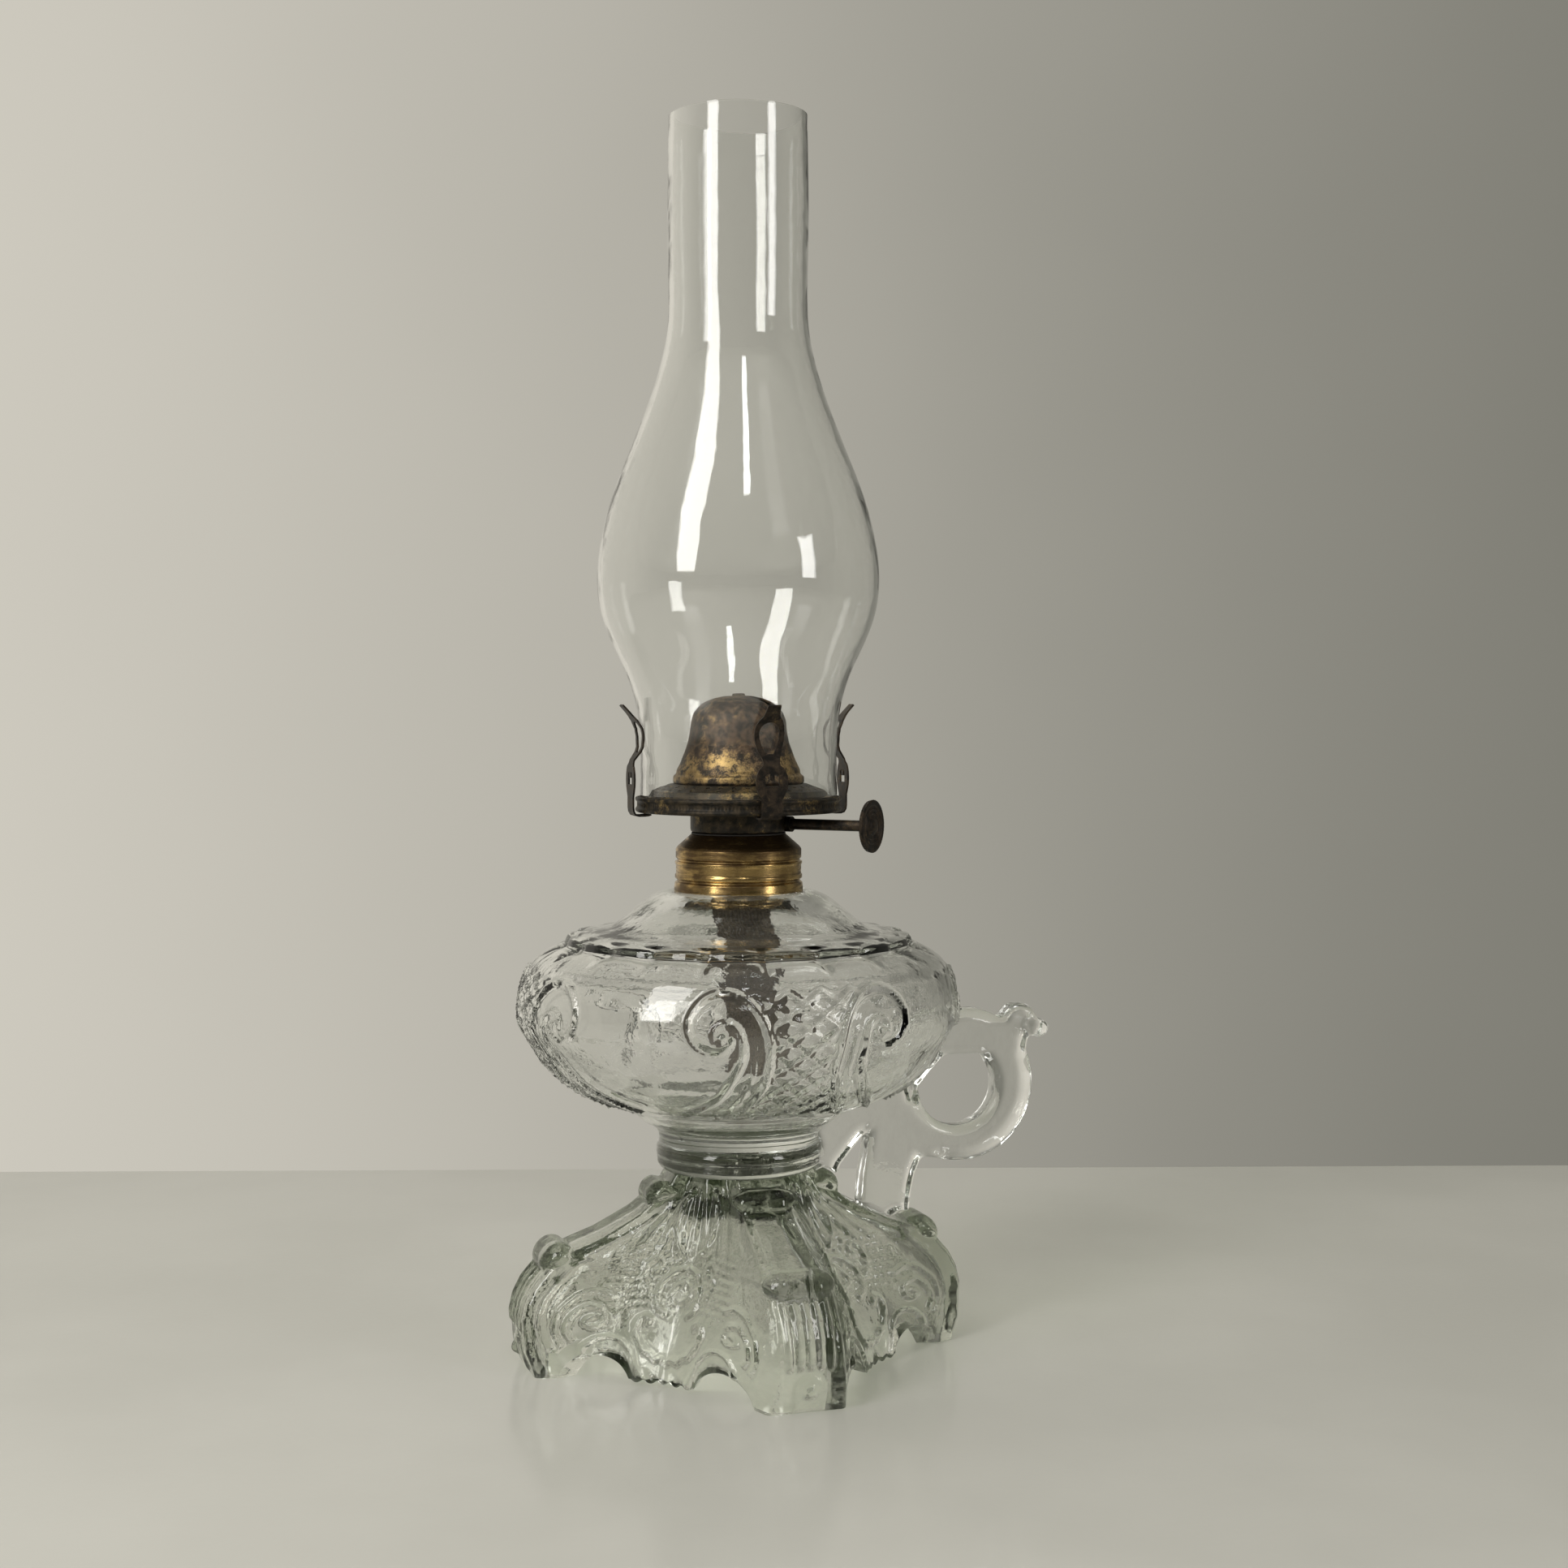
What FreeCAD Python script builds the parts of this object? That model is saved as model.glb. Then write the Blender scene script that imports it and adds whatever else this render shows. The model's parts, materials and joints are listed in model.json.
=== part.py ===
import FreeCAD, Part
import math
import os

V = FreeCAD.Vector
doc = FreeCAD.newDocument("oil_lamp")

# ---- driving dimensions, in millimetres and degrees -----------------------------------------
SIZES = {
    # whole lamp
    "total_height": 476.0,
    # moulded foot
    "foot_corner_r": 88.0, "foot_neck_r": 27.5, "foot_height": 72.0, "leg_width": 26.0, "foot_wall": 5.5,
    # joining ring
    "wafer_r": 32.3, "wafer_height": 9.5,
    # font
    "font_r": 84.8, "font_height": 97.5, "neck_height": 15.5,
    # handle
    "handle_width": 12.0, "ring_r": 30.8, "finger_hole_r": 16.2,
    # collar
    "collar_height": 22.0, "thread_pitch": 2.1,
    # burner
    "barrel_height": 10.3, "sheet": 0.5, "gallery_height": 5.4, "dome_height": 34.3, "slot_width": 5.5,
    # wick and its raiser
    "wick_width": 25.4, "wick_thick": 2.0, "wick_gap": 0.4,
    "shaft_offset": 5.2, "shaft_r": 1.5, "grip_shaft_r": 2.1, "wheel_r": 10.15, "wheel_reach": 54.0,
    # prongs
    "prong_width": 8.0, "prong_sheet": 0.7,
    # chimney
    "fitter_r": 38.1, "bulge_r": 54.5, "tube_r": 26.8, "glass_thick": 1.9,
}

sheet = doc.addObject("Spreadsheet::Sheet", "Sizes")
for row, (alias, number) in enumerate(SIZES.items(), start=1):
    sheet.set("A%d" % row, alias)
    sheet.set("B%d" % row, str(number))
    sheet.setAlias("B%d" % row, alias)
doc.recompute()


class Size:
    """A number together with the sheet formula that gives it, so that both stay in step."""

    def __init__(self, value, text=None):
        self.value = float(value)
        self.text = text if text is not None else "%.6f" % float(value)

    def join(self, other, sign, value, swap=False):
        first, second = (other.text, self.text) if swap else (self.text, other.text)
        return Size(value, "(%s %s %s)" % (first, sign, second))

    def __add__(self, other):
        other = as_size(other)
        return self.join(other, "+", self.value + other.value)

    __radd__ = __add__

    def __sub__(self, other):
        other = as_size(other)
        return self.join(other, "-", self.value - other.value)

    def __rsub__(self, other):
        other = as_size(other)
        return self.join(other, "-", other.value - self.value, swap=True)

    def __mul__(self, other):
        other = as_size(other)
        return self.join(other, "*", self.value * other.value)

    __rmul__ = __mul__

    def __truediv__(self, other):
        other = as_size(other)
        return self.join(other, "/", self.value / other.value)

    def __neg__(self):
        return self * -1


def as_size(number):
    return number if isinstance(number, Size) else Size(number)


def dim(alias):
    """A driving dimension, read back from the sheet."""
    return Size(getattr(sheet, alias), "Sizes." + alias)


def drive(thing, prop, size):
    """Tie a property to the sheet."""
    thing.setExpression(prop, as_size(size).text)


# ---- sizes that follow from the wick's width, the fitter and the shaft -----------------------
thimble_r = dim("wick_width") / 2 + 2.9
thread_bore_r = thimble_r + 0.75
collar_mouth_r = thimble_r + 2.7
barrel_r = thimble_r + 3.05
neck_bore_r = thimble_r + 3.4
neck_r = neck_bore_r + 2.5
plaster_r = neck_r + 1.9
collar_r = plaster_r + 1.2
gallery_r = dim("fitter_r") + 1.1
prong_r = dim("fitter_r") + 4.7
dome_r = dim("fitter_r") - 12.8
plate_skirt_r = dome_r + 1.2
spur_r = dim("shaft_offset") - dim("wick_thick") / 2 - 0.2

# ---- levels, from the table up ------------------------------------------------------------
wafer_z = dim("foot_height")
font_z = wafer_z + dim("wafer_height")
shoulder_z = font_z + dim("font_height")
collar_top = shoulder_z + dim("collar_height")
seam_z = collar_top + 0.1
barrel_z = seam_z + 0.6
gallery_z = barrel_z + dim("barrel_height") - 1.8
gallery_top = gallery_z + dim("gallery_height")
seat_z = gallery_top + 0.4
plate_top = seat_z + 4.4
dome_top = plate_top + dim("dome_height")
shaft_z = barrel_z + 3.3
burner_turn = FreeCAD.Rotation(V(0, 0, 1), -45)


# ---- small helpers --------------------------------------------------------------------------
def new_body(label):
    body = doc.addObject("PartDesign::Body", label)
    body.Label = label
    return body


def body_plane(body, role):
    return [f for f in body.Origin.OriginFeatures if f.Role == role][0]


def new_sketch(body, role):
    sketch = body.newObject("Sketcher::SketchObject", body.Name + "_sketch")
    sketch.AttachmentSupport = [(body_plane(body, role), "")]
    sketch.MapMode = "FlatFace"
    return sketch


def place_corner(sketch, line, x, y):
    """Hold one line's first end at a point that the sheet gives."""
    import Sketcher

    for axis, size in (("X", as_size(x)), ("Y", as_size(y))):
        if abs(size.value) < 1e-9:
            other = -2 if axis == "X" else -1
            sketch.addConstraint(Sketcher.Constraint("PointOnObject", line, 1, other))
            continue
        index = sketch.addConstraint(
            Sketcher.Constraint("Distance" + axis, -1, 1, line, 1, size.value)
        )
        sketch.setExpression("Constraints[%d]" % index, size.text)


def add_outline(sketch, corners):
    """A closed outline of straight lines, each corner tied to the sheet."""
    import Sketcher

    first = sketch.GeometryCount
    points = [V(as_size(x).value, as_size(y).value, 0) for x, y in corners]
    count = len(points)
    for i in range(count):
        sketch.addGeometry(Part.LineSegment(points[i], points[(i + 1) % count]), False)
    for i in range(count):
        after = first + (i + 1) % count
        sketch.addConstraint(Sketcher.Constraint("Coincident", first + i, 2, after, 1))
    for i, (x, y) in enumerate(corners):
        place_corner(sketch, first + i, x, y)


def add_circle(sketch, x, y, radius):
    """A circle whose centre and radius are tied to the sheet."""
    import Sketcher

    x, y, radius = as_size(x), as_size(y), as_size(radius)
    circle = sketch.addGeometry(Part.Circle(V(x.value, y.value, 0), V(0, 0, 1), radius.value), False)
    index = sketch.addConstraint(Sketcher.Constraint("Radius", circle, radius.value))
    sketch.setExpression("Constraints[%d]" % index, radius.text)
    for axis, size in (("X", x), ("Y", y)):
        if abs(size.value) < 1e-9:
            other = -2 if axis == "X" else -1
            sketch.addConstraint(Sketcher.Constraint("PointOnObject", circle, 3, other))
        else:
            index = sketch.addConstraint(
                Sketcher.Constraint("Distance" + axis, -1, 1, circle, 3, size.value)
            )
            sketch.setExpression("Constraints[%d]" % index, size.text)


def turned(label, corners):
    """A body of revolution about its own Z, from (radius, height) corners."""
    body = new_body(label)
    sketch = new_sketch(body, "XZ_Plane")
    add_outline(sketch, corners)
    spin = body.newObject("PartDesign::Revolution", label + "_spin")
    spin.Profile = sketch
    spin.ReferenceAxis = (sketch, ["V_Axis"])
    spin.Angle = 360
    sketch.Visibility = False
    return body


def padded(label, role, outlines, length, circles=()):
    """A body made by padding closed outlines evenly to both sides of its sketch plane."""
    body = new_body(label)
    sketch = new_sketch(body, role)
    for corners in outlines:
        add_outline(sketch, corners)
    for x, y, radius in circles:
        add_circle(sketch, x, y, radius)
    pad = body.newObject("PartDesign::Pad", label + "_pad")
    pad.Profile = sketch
    pad.SideType = "Symmetric"
    drive(pad, "Length", length)
    sketch.Visibility = False
    return body


def block(label, x, y, z):
    """A box from (low, high) pairs."""
    box = doc.addObject("Part::Box", label)
    for prop, axis, (low, high) in (("Length", "x", x), ("Width", "y", y), ("Height", "z", z)):
        drive(box, prop, as_size(high) - low)
        drive(box, "Placement.Base." + axis, low)
    return box


def rod(label, radius, length, base, axis):
    """A cylinder that starts at base and runs along axis."""
    cylinder = doc.addObject("Part::Cylinder", label)
    drive(cylinder, "Radius", radius)
    drive(cylinder, "Height", length)
    cylinder.Placement.Rotation = FreeCAD.Rotation(V(0, 0, 1), axis)
    for letter, size in zip("xyz", base):
        drive(cylinder, "Placement.Base." + letter, size)
    return cylinder


def bevel(label, low_r, high_r, length, base, axis):
    """A cone that starts at base and runs along axis."""
    cone = doc.addObject("Part::Cone", label)
    drive(cone, "Radius1", low_r)
    drive(cone, "Radius2", high_r)
    drive(cone, "Height", length)
    cone.Placement.Rotation = FreeCAD.Rotation(V(0, 0, 1), axis)
    for letter, size in zip("xyz", base):
        drive(cone, "Placement.Base." + letter, size)
    return cone


def joined(label, things):
    fuse = doc.addObject("Part::MultiFuse", label)
    fuse.Shapes = things
    return fuse


def cut(label, base, tool):
    result = doc.addObject("Part::Cut", label)
    result.Base = base
    result.Tool = tool
    return result


def shared(label, first, second):
    result = doc.addObject("Part::MultiCommon", label)
    result.Shapes = [first, second]
    return result


def solid(label, shape):
    """A shape that no parametric feature gives, such as a spline turned on a lathe."""
    feature = doc.addObject("Part::Feature", label)
    feature.Shape = shape
    return feature


def blown(outer, inner):
    """Glass turned from two smooth curves; each ends on a flat rim."""
    curves = []
    for points in (outer, inner):
        spline = Part.BSplineCurve()
        spline.interpolate([V(r, 0, z) for r, z in points])
        curves.append(spline.toShape())
    low = Part.makeLine(V(outer[0][0], 0, outer[0][1]), V(inner[0][0], 0, inner[0][1]))
    high = Part.makeLine(V(outer[-1][0], 0, outer[-1][1]), V(inner[-1][0], 0, inner[-1][1]))
    wire = Part.Wire([curves[0], high, curves[1], low])
    return Part.Face(wire).revolve(V(0, 0, 0), V(0, 0, 1), 360)


def lathe_polygon(points):
    """A solid turned from straight lines."""
    vectors = [V(r, 0, z) for r, z in points]
    face = Part.Face(Part.makePolygon(vectors + vectors[:1]))
    return face.revolve(V(0, 0, 0), V(0, 0, 1), 360)


# ---- the font -------------------------------------------------------------------------------
FONT_OUT = [
    (29.5, 179.0), (34.5, 177.0), (39.2, 173.4), (43.0, 170.0), (49.0, 165.5), (55.5, 163.6),
    (64.0, 162.7), (66.5, 162.5), (67.2, 158.6), (70.5, 158.2), (75.5, 155.4), (79.2, 152.6),
    (82.5, 146.7), (84.0, 140.4), (84.8, 134.0), (84.2, 129.5), (82.3, 126.0), (79.5, 121.6),
    (75.0, 113.8), (69.7, 108.6), (63.3, 104.0), (57.5, 100.8), (50.5, 98.2), (43.6, 96.4),
    (43.0, 95.6), (38.0, 91.2), (34.0, 89.2), (32.0, 87.6), (30.8, 84.0), (31.5, 81.5),
]
FONT_IN = [
    (26.0, 173.6), (31.0, 171.2), (36.0, 167.8), (41.0, 163.8), (47.0, 160.2), (55.0, 158.6),
    (62.0, 157.8), (66.0, 154.4), (71.0, 151.6), (75.0, 149.2), (78.2, 144.8), (79.7, 139.8),
    (80.3, 134.2), (79.6, 130.4), (77.6, 127.2), (74.8, 123.4), (70.6, 116.6), (66.0, 112.0),
    (60.4, 108.0), (54.4, 104.8), (46.6, 102.2), (39.4, 99.8), (36.0, 96.6), (33.0, 93.4),
    (26.0, 92.0),
]


def font_point(r, z):
    """Scale a drawn point of the font to the sheet's radius and height."""
    scale_r = dim("font_r").value / 84.8
    scale_z = dim("font_height").value / 97.5
    return r * scale_r, font_z.value + (z - 81.5) * scale_z


def font_shape():
    """The bowl's two walls, its neck and its bore, all turned together."""
    neck, bore = neck_r.value, neck_bore_r.value
    shoulder = shoulder_z.value
    outer = [font_point(r, z) for r, z in FONT_OUT]
    inner = [font_point(r, z) for r, z in FONT_IN]
    top = shoulder + dim("neck_height").value
    rim = [(bore, top), (neck, top), (neck, shoulder)]
    floor = [(0, font_z.value), (0, inner[-1][1])]
    return lathe_polygon(rim + outer + floor + inner[::-1] + [(bore, inner[0][1] + 1.5)])


def font_core():
    """The bowl without its hollow, for trimming the handle's root."""
    outer = [font_point(r, z) for r, z in FONT_OUT]
    return lathe_polygon([(0, shoulder_z.value)] + outer + [(0, font_z.value)])


glass_font = solid("glass_font", font_shape())
font_trim = solid("font_trim", font_core())


def font_radius(z):
    """The bowl's outer radius at a height on its underside."""
    below = [font_point(r, h) for r, h in FONT_OUT if h <= 134.0]
    for (r1, z1), (r0, z0) in zip(below, below[1:]):
        if z0 <= z <= z1:
            return r0 + (r1 - r0) * (z - z0) / (z1 - z0)
    return below[0][0]


# ---- the joining ring -------------------------------------------------------------------------
glass_wafer = turned("glass_wafer", [
    (0, wafer_z), (dim("wafer_r") - 3.8, wafer_z), (dim("wafer_r") - 0.6, wafer_z + 3.4),
    (dim("wafer_r"), wafer_z + 5.2), (dim("wafer_r"), wafer_z + 7.6),
    (dim("wafer_r") - 0.8, font_z), (0, font_z),
])

# ---- the foot ---------------------------------------------------------------------------------
# rows: height, corner radius, radius at the middle of a face, half width of the leg
FOOT_ROWS = [
    (0.0, 84.0, 58.5, 15.0), (2.6, 84.6, 58.2, 15.0), (8.7, 87.0, 56.0, 14.4),
    (21.0, 88.0, 49.8, 13.0), (27.0, 86.6, 46.2, 12.6), (33.0, 83.5, 42.2, 12.2),
    (38.6, 78.5, 38.6, 12.0), (43.5, 73.0, 35.6, 11.8), (46.5, 66.0, 34.0, 11.2),
    (50.0, 56.5, 32.2, 10.6), (53.5, 49.5, 31.0, 10.2), (57.5, 42.0, 29.6, 9.8),
    (62.5, 35.5, 28.4, 9.4), (67.0, 30.5, 27.8, 9.0), (72.0, 27.5, 26.2, 8.6),
]


def foot_row(z, corner, middle, half, inset):
    """One level of the foot: four legs with hollowed faces between them."""
    grow = dim("foot_corner_r").value / 88.0
    wide = dim("leg_width").value / 26.0
    tall = dim("foot_height").value / 72.0
    corner, middle, half = corner * grow - inset, middle * grow - 0.8 * inset, half * wide - 0.75 * inset
    diag = middle * math.sqrt(0.5)
    quarter = [(corner, -half), (corner, half), (max(corner - 9, diag + 3.5), half + 2.2), (diag, diag)]
    mirror = [(quarter[2][1], quarter[2][0])]
    points = []
    for k in range(4):
        c, s = round(math.cos(k * math.pi / 2)), round(math.sin(k * math.pi / 2))
        points += [V(c * x - s * y, s * x + c * y, z * tall) for x, y in quarter + mirror]
    return Part.makePolygon(points + points[:1])


def foot_shape():
    """The foot's moulded shell: outside less inside, with its arches, rolls and corner bosses."""
    wall = dim("foot_wall").value
    outside = Part.makeLoft([foot_row(*row, 0.0) for row in FOOT_ROWS], True, True)
    lowered = [(z - 4.2 * min(1.0, z / 40.0), *rest) for z, *rest in FOOT_ROWS[1:-3]]
    hollow_rows = [(-1.0, 84.0, 58.5, 15.0)] + lowered
    inside = Part.makeLoft([foot_row(*row, wall) for row in hollow_rows], True, True)
    shell = outside.cut(inside)
    grow = dim("foot_corner_r").value / 88.0
    tall = dim("foot_height").value / 72.0
    rolls, arches = [], []
    for k in range(4):
        turn = FreeCAD.Rotation(V(0, 0, 1), 90 * k)
        across = turn.multVec(V(0, 1, 0))
        for reach, level, radius, length in ((33.5, 64.5, 5.3, 19.0), (66.5, 43.0, 7.5, 24.0)):
            base = turn.multVec(V(reach * grow, -length / 2, level * tall))
            rolls.append(Part.makeCylinder(radius, length, base, across))
        rolls.append(Part.makeSphere(4.2, turn.multVec(V(86.2 * grow, 0, 15.0 * tall))))
        face = FreeCAD.Rotation(V(0, 0, 1), 90 * k + 45)
        out = face.multVec(V(1, 0, 0))
        for side in (-1, 1):
            base = face.multVec(V(38 * grow, side * 24.5 * grow, -2.0))
            arches.append(Part.makeCylinder(12.0, 40 * grow, base, out))
        pendant = Part.makeBox(40 * grow, 26 * grow, 2.5, V(38 * grow, -13 * grow, -1.0))
        pendant.rotate(V(0, 0, 0), V(0, 0, 1), 90 * k + 45)
        arches.append(pendant)
    return shell.fuse(rolls).cut(inside).cut(arches).removeSplitter()


glass_foot = solid("glass_foot", foot_shape())

# ---- the handle -------------------------------------------------------------------------------
ring_x = dim("font_r") + 7.5
ring_z = font_z + 17.5
hole_x = ring_x - 2.3
bar_top = font_z + 43.6
half_wide = dim("handle_width") / 2
flat_wide = dim("handle_width") / 4


def wall_point(z, inset=2.0):
    """A point inside the bowl's wall at a drawn height, for the handle's root."""
    r, level = font_point(0, z)
    return Size(font_radius(level) - inset), Size(level + 0.5)


def handle_outline():
    """The flat web between bowl and foot, with its two struts and the top bar."""
    roots = [wall_point(z) for z in (124.6, 118.0, 113.0, 108.0, 103.6, 100.6, 97.6)]
    stem = [
        (dim("wafer_r") + 4.0, font_z + 11.0), (dim("wafer_r") - 2.0, font_z + 7.5),
        (dim("wafer_r") - 3.5, font_z + 3.0), (dim("wafer_r") - 3.5, font_z - 3.0),
        (dim("foot_neck_r") - 1.5, wafer_z + 2.0), (dim("foot_neck_r") - 1.5, wafer_z - 3.0),
        (dim("foot_neck_r") + 3.0, wafer_z - 8.0), (dim("foot_neck_r") + 8.5, wafer_z - 7.5),
    ]
    inner_curve = [
        (Size(39.0), wafer_z - 5.6), (Size(40.2), font_z - 11.4), (Size(43.1), font_z - 8.0),
        (Size(46.1), font_z - 4.5), (Size(49.6), font_z - 0.6), (Size(53.0), font_z + 1.6),
    ]
    panel = [
        (Size(51.4), font_z - 8.0), (Size(50.0), font_z - 16.0), (Size(49.0), wafer_z - 18.0),
        (Size(49.2), wafer_z - 21.0), (Size(58.0), wafer_z - 26.5), (Size(69.4), wafer_z - 30.0),
        (Size(69.4), wafer_z - 23.6), (Size(69.9), wafer_z - 15.5), (Size(71.6), wafer_z - 7.5),
        (Size(74.6), wafer_z - 0.6), (ring_x - 10.5, ring_z - 29.0),
    ]
    bar = [
        (ring_x + 6.0, ring_z - 20.0), (ring_x + 25.0, ring_z), (ring_x + 28.0, bar_top - 9.0),
        (ring_x + 24.0, bar_top - 3.0), (ring_x + 17.0, bar_top),
    ]
    return roots + stem + inner_curve + panel + bar


def rim_edges(feature, half):
    """The edges of a plate's two flat faces."""
    names = []
    for index, edge in enumerate(feature.Shape.Edges, start=1):
        if all(abs(abs(v.Point.y) - half) < 1e-6 for v in edge.Vertexes):
            ends = {round(v.Point.y, 3) for v in edge.Vertexes}
            if len(ends) == 1:
                names.append("Edge%d" % index)
    return names


def ring_plate():
    """The finger ring's disc and the thumb scroll, each with bevelled edges."""
    pieces = []
    for name, x, z, radius, slope in (
        ("ring", ring_x, ring_z, dim("ring_r"), 3.8),
        ("scroll", ring_x + 24.9, bar_top - 2.0, Size(7.5), 1.6),
    ):
        pieces.append(rod(name + "_disc", radius, flat_wide * 2, (x, -flat_wide, z), V(0, 1, 0)))
        pieces.append(bevel(name + "_front", radius, radius - slope, half_wide - flat_wide,
                            (x, -flat_wide, z), V(0, -1, 0)))
        pieces.append(bevel(name + "_back", radius, radius - slope, half_wide - flat_wide,
                            (x, flat_wide, z), V(0, 1, 0)))
    ball = rod("scroll_end", 3.6, dim("handle_width") + 1.6,
               (ring_x + 32.6, -half_wide - 0.8, bar_top - 4.5), V(0, 1, 0))
    return pieces + [ball]


def finger_hole():
    """The round opening, flared at both faces, flat under the bar and cut across by the web."""
    straight = rod("finger_bore", dim("finger_hole_r"), half_wide * 4,
                   (hole_x, half_wide * -2, ring_z), V(0, 1, 0))
    front = bevel("finger_flare_front", dim("finger_hole_r"), dim("finger_hole_r") + 2.6,
                  half_wide - flat_wide + 0.01, (hole_x, -flat_wide, ring_z), V(0, -1, 0))
    back = bevel("finger_flare_back", dim("finger_hole_r"), dim("finger_hole_r") + 2.6,
                 half_wide - flat_wide + 0.01, (hole_x, flat_wide, ring_z), V(0, 1, 0))
    roof = block("finger_roof", (hole_x - 30, hole_x + 30), (-20, 20), (bar_top - 13.6, bar_top + 20))
    slope = padded("finger_slope", "XZ_Plane", [[
        (hole_x - 22.0, ring_z - 4.0), (hole_x - 16.6, ring_z + 1.4), (hole_x - 6.4, bar_top - 13.4),
        (hole_x - 22.0, bar_top - 13.4),
    ]], Size(60.0))
    return cut("finger_hole", joined("finger_flares", [straight, front, back]),
               joined("finger_limits", [roof, slope]))


def make_handle():
    """Web, ring and scroll joined, holed, and trimmed to the glass that they grow from."""
    web = padded("handle_web", "XZ_Plane", [handle_outline()], dim("handle_width"))
    doc.recompute()
    pad = web.Tip
    edges = rim_edges(pad, half_wide.value)
    rim = web.newObject("PartDesign::Chamfer", "handle_web_bevel")
    rim.Base = (pad, edges)
    rim.Size = 1.4
    plate = joined("handle_plate", [web] + ring_plate())
    notch = padded("handle_notch", "XZ_Plane", [[
        (ring_x - 24.6, ring_z + 2.6), (ring_x - 19.9, ring_z + 0.8), (ring_x - 20.3, ring_z - 10.2),
    ]], Size(60.0))
    holed = cut("handle_holed", plate, joined("handle_holes", [finger_hole(), notch]))
    glass = joined("handle_trim", [font_trim, glass_wafer, glass_foot])
    return cut("glass_handle", holed, glass)


glass_handle = make_handle()


# ---- the collar -------------------------------------------------------------------------------
def ridge(radius, depth, low, turns, inward):
    """A screw ridge: a small trapezium carried along a helix, its root sunk in the wall."""
    pitch = dim("thread_pitch").value
    path = Part.Wire(Part.makeHelix(pitch, turns * pitch, radius))
    sign = -1 if inward else 1
    root, crest = radius - sign * 0.25, radius + sign * depth
    outline = [V(root, 0, -0.5), V(crest, 0, -0.22), V(crest, 0, 0.22), V(root, 0, 0.5)]
    profile = Part.makePolygon(outline + outline[:1])
    thread = path.makePipeShell([profile], True, True)
    thread.translate(V(0, 0, low))
    return thread


def collar_corners():
    """A spun brass collar: threaded mouth, cone, two beaded bands and a flared foot."""
    base, r = shoulder_z, collar_r
    bore, lining = thread_bore_r, plaster_r
    return [
        (bore, collar_top), (collar_mouth_r, collar_top), (r - 0.9, base + 17.3),
        (r - 0.3, base + 16.3), (r - 0.3, base + 12.9), (r - 0.8, base + 12.4),
        (r - 0.8, base + 11.8), (r, base + 11.3), (r, base + 5.3), (r - 0.7, base + 4.8),
        (r - 0.7, base + 4.2), (r, base + 3.6), (r + 0.4, base + 0.6), (r + 0.4, base),
        (lining, base), (lining, base + 16.2), (collar_mouth_r - 0.5, collar_top - 0.9),
        (bore + 0.6, collar_top - 0.9), (bore + 0.6, base + 10.6), (bore, base + 10.6),
    ]


collar_thread = solid("collar_thread", ridge(
    thread_bore_r.value, 0.5, shoulder_z.value + 12.2, 3.4, True))
collar_shell = joined("collar_shell", [turned("collar_spinning", collar_corners()), collar_thread])
collar_shell.Refine = False
collar_plaster = turned("collar_plaster", [
    (neck_r, shoulder_z), (plaster_r, shoulder_z),
    (plaster_r, shoulder_z + dim("neck_height") - 0.8),
    (neck_r, shoulder_z + dim("neck_height") - 0.8),
])

# ---- the burner -------------------------------------------------------------------------------
burner_seam_ring = turned("burner_seam_ring", [
    (thimble_r + 0.5, seam_z), (collar_mouth_r - 0.1, seam_z),
    (collar_mouth_r - 0.1, barrel_z - 0.1), (thimble_r + 0.5, barrel_z - 0.1),
])


def tube_hole(low, high):
    """Room for the wick tube's outside, between two heights."""
    half_w = dim("wick_width") / 2 + dim("wick_gap") + dim("sheet")
    half_t = dim("wick_thick") / 2 + dim("wick_gap") + dim("sheet")
    hole = block("tube_room_%d" % round(as_size(low).value), (-half_w, half_w), (-half_t, half_t), (low, high))
    hole.Placement.Rotation = burner_turn
    tie_turned_corner(hole, -half_w, -half_t)
    return hole


def tie_turned_corner(thing, along, off):
    """Set a turned part's corner from its place along and off the wick's width."""
    half = Size(math.sqrt(0.5))
    drive(thing, "Placement.Base.x", half * (as_size(along) + as_size(off)))
    drive(thing, "Placement.Base.y", half * (as_size(off) - as_size(along)))


def turned_block(label, along, off, z):
    """A box laid out along and across the wick's width."""
    box = block(label, along, off, z)
    box.Placement.Rotation = burner_turn
    tie_turned_corner(box, along[0], off[0])
    return box


def along_rod(label, radius, start, end):
    """A cylinder on the raiser's axis, from one reach to another."""
    direction = burner_turn.multVec(V(1, 0, 0))
    pin = rod(label, radius, as_size(end) - start, (0, 0, shaft_z), direction)
    tie_turned_corner(pin, start, dim("shaft_offset"))
    return pin


thimble_low = shoulder_z + 10.8
thimble_cup = turned("thimble_cup", [
    (0, thimble_low), (thimble_r, thimble_low), (thimble_r, barrel_z + 0.6),
    (thimble_r - dim("sheet"), barrel_z + 0.6),
    (thimble_r - dim("sheet"), thimble_low + 0.6), (0, thimble_low + 0.6),
])
thimble_thread = solid("thimble_thread", ridge(
    thimble_r.value, 0.5, shoulder_z.value + 13.25, 2.9, False))
burner_thimble = cut(
    "burner_thimble", joined("thimble_blank", [thimble_cup, thimble_thread]),
    tube_hole(thimble_low - 1, thimble_low + 2))

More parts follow.
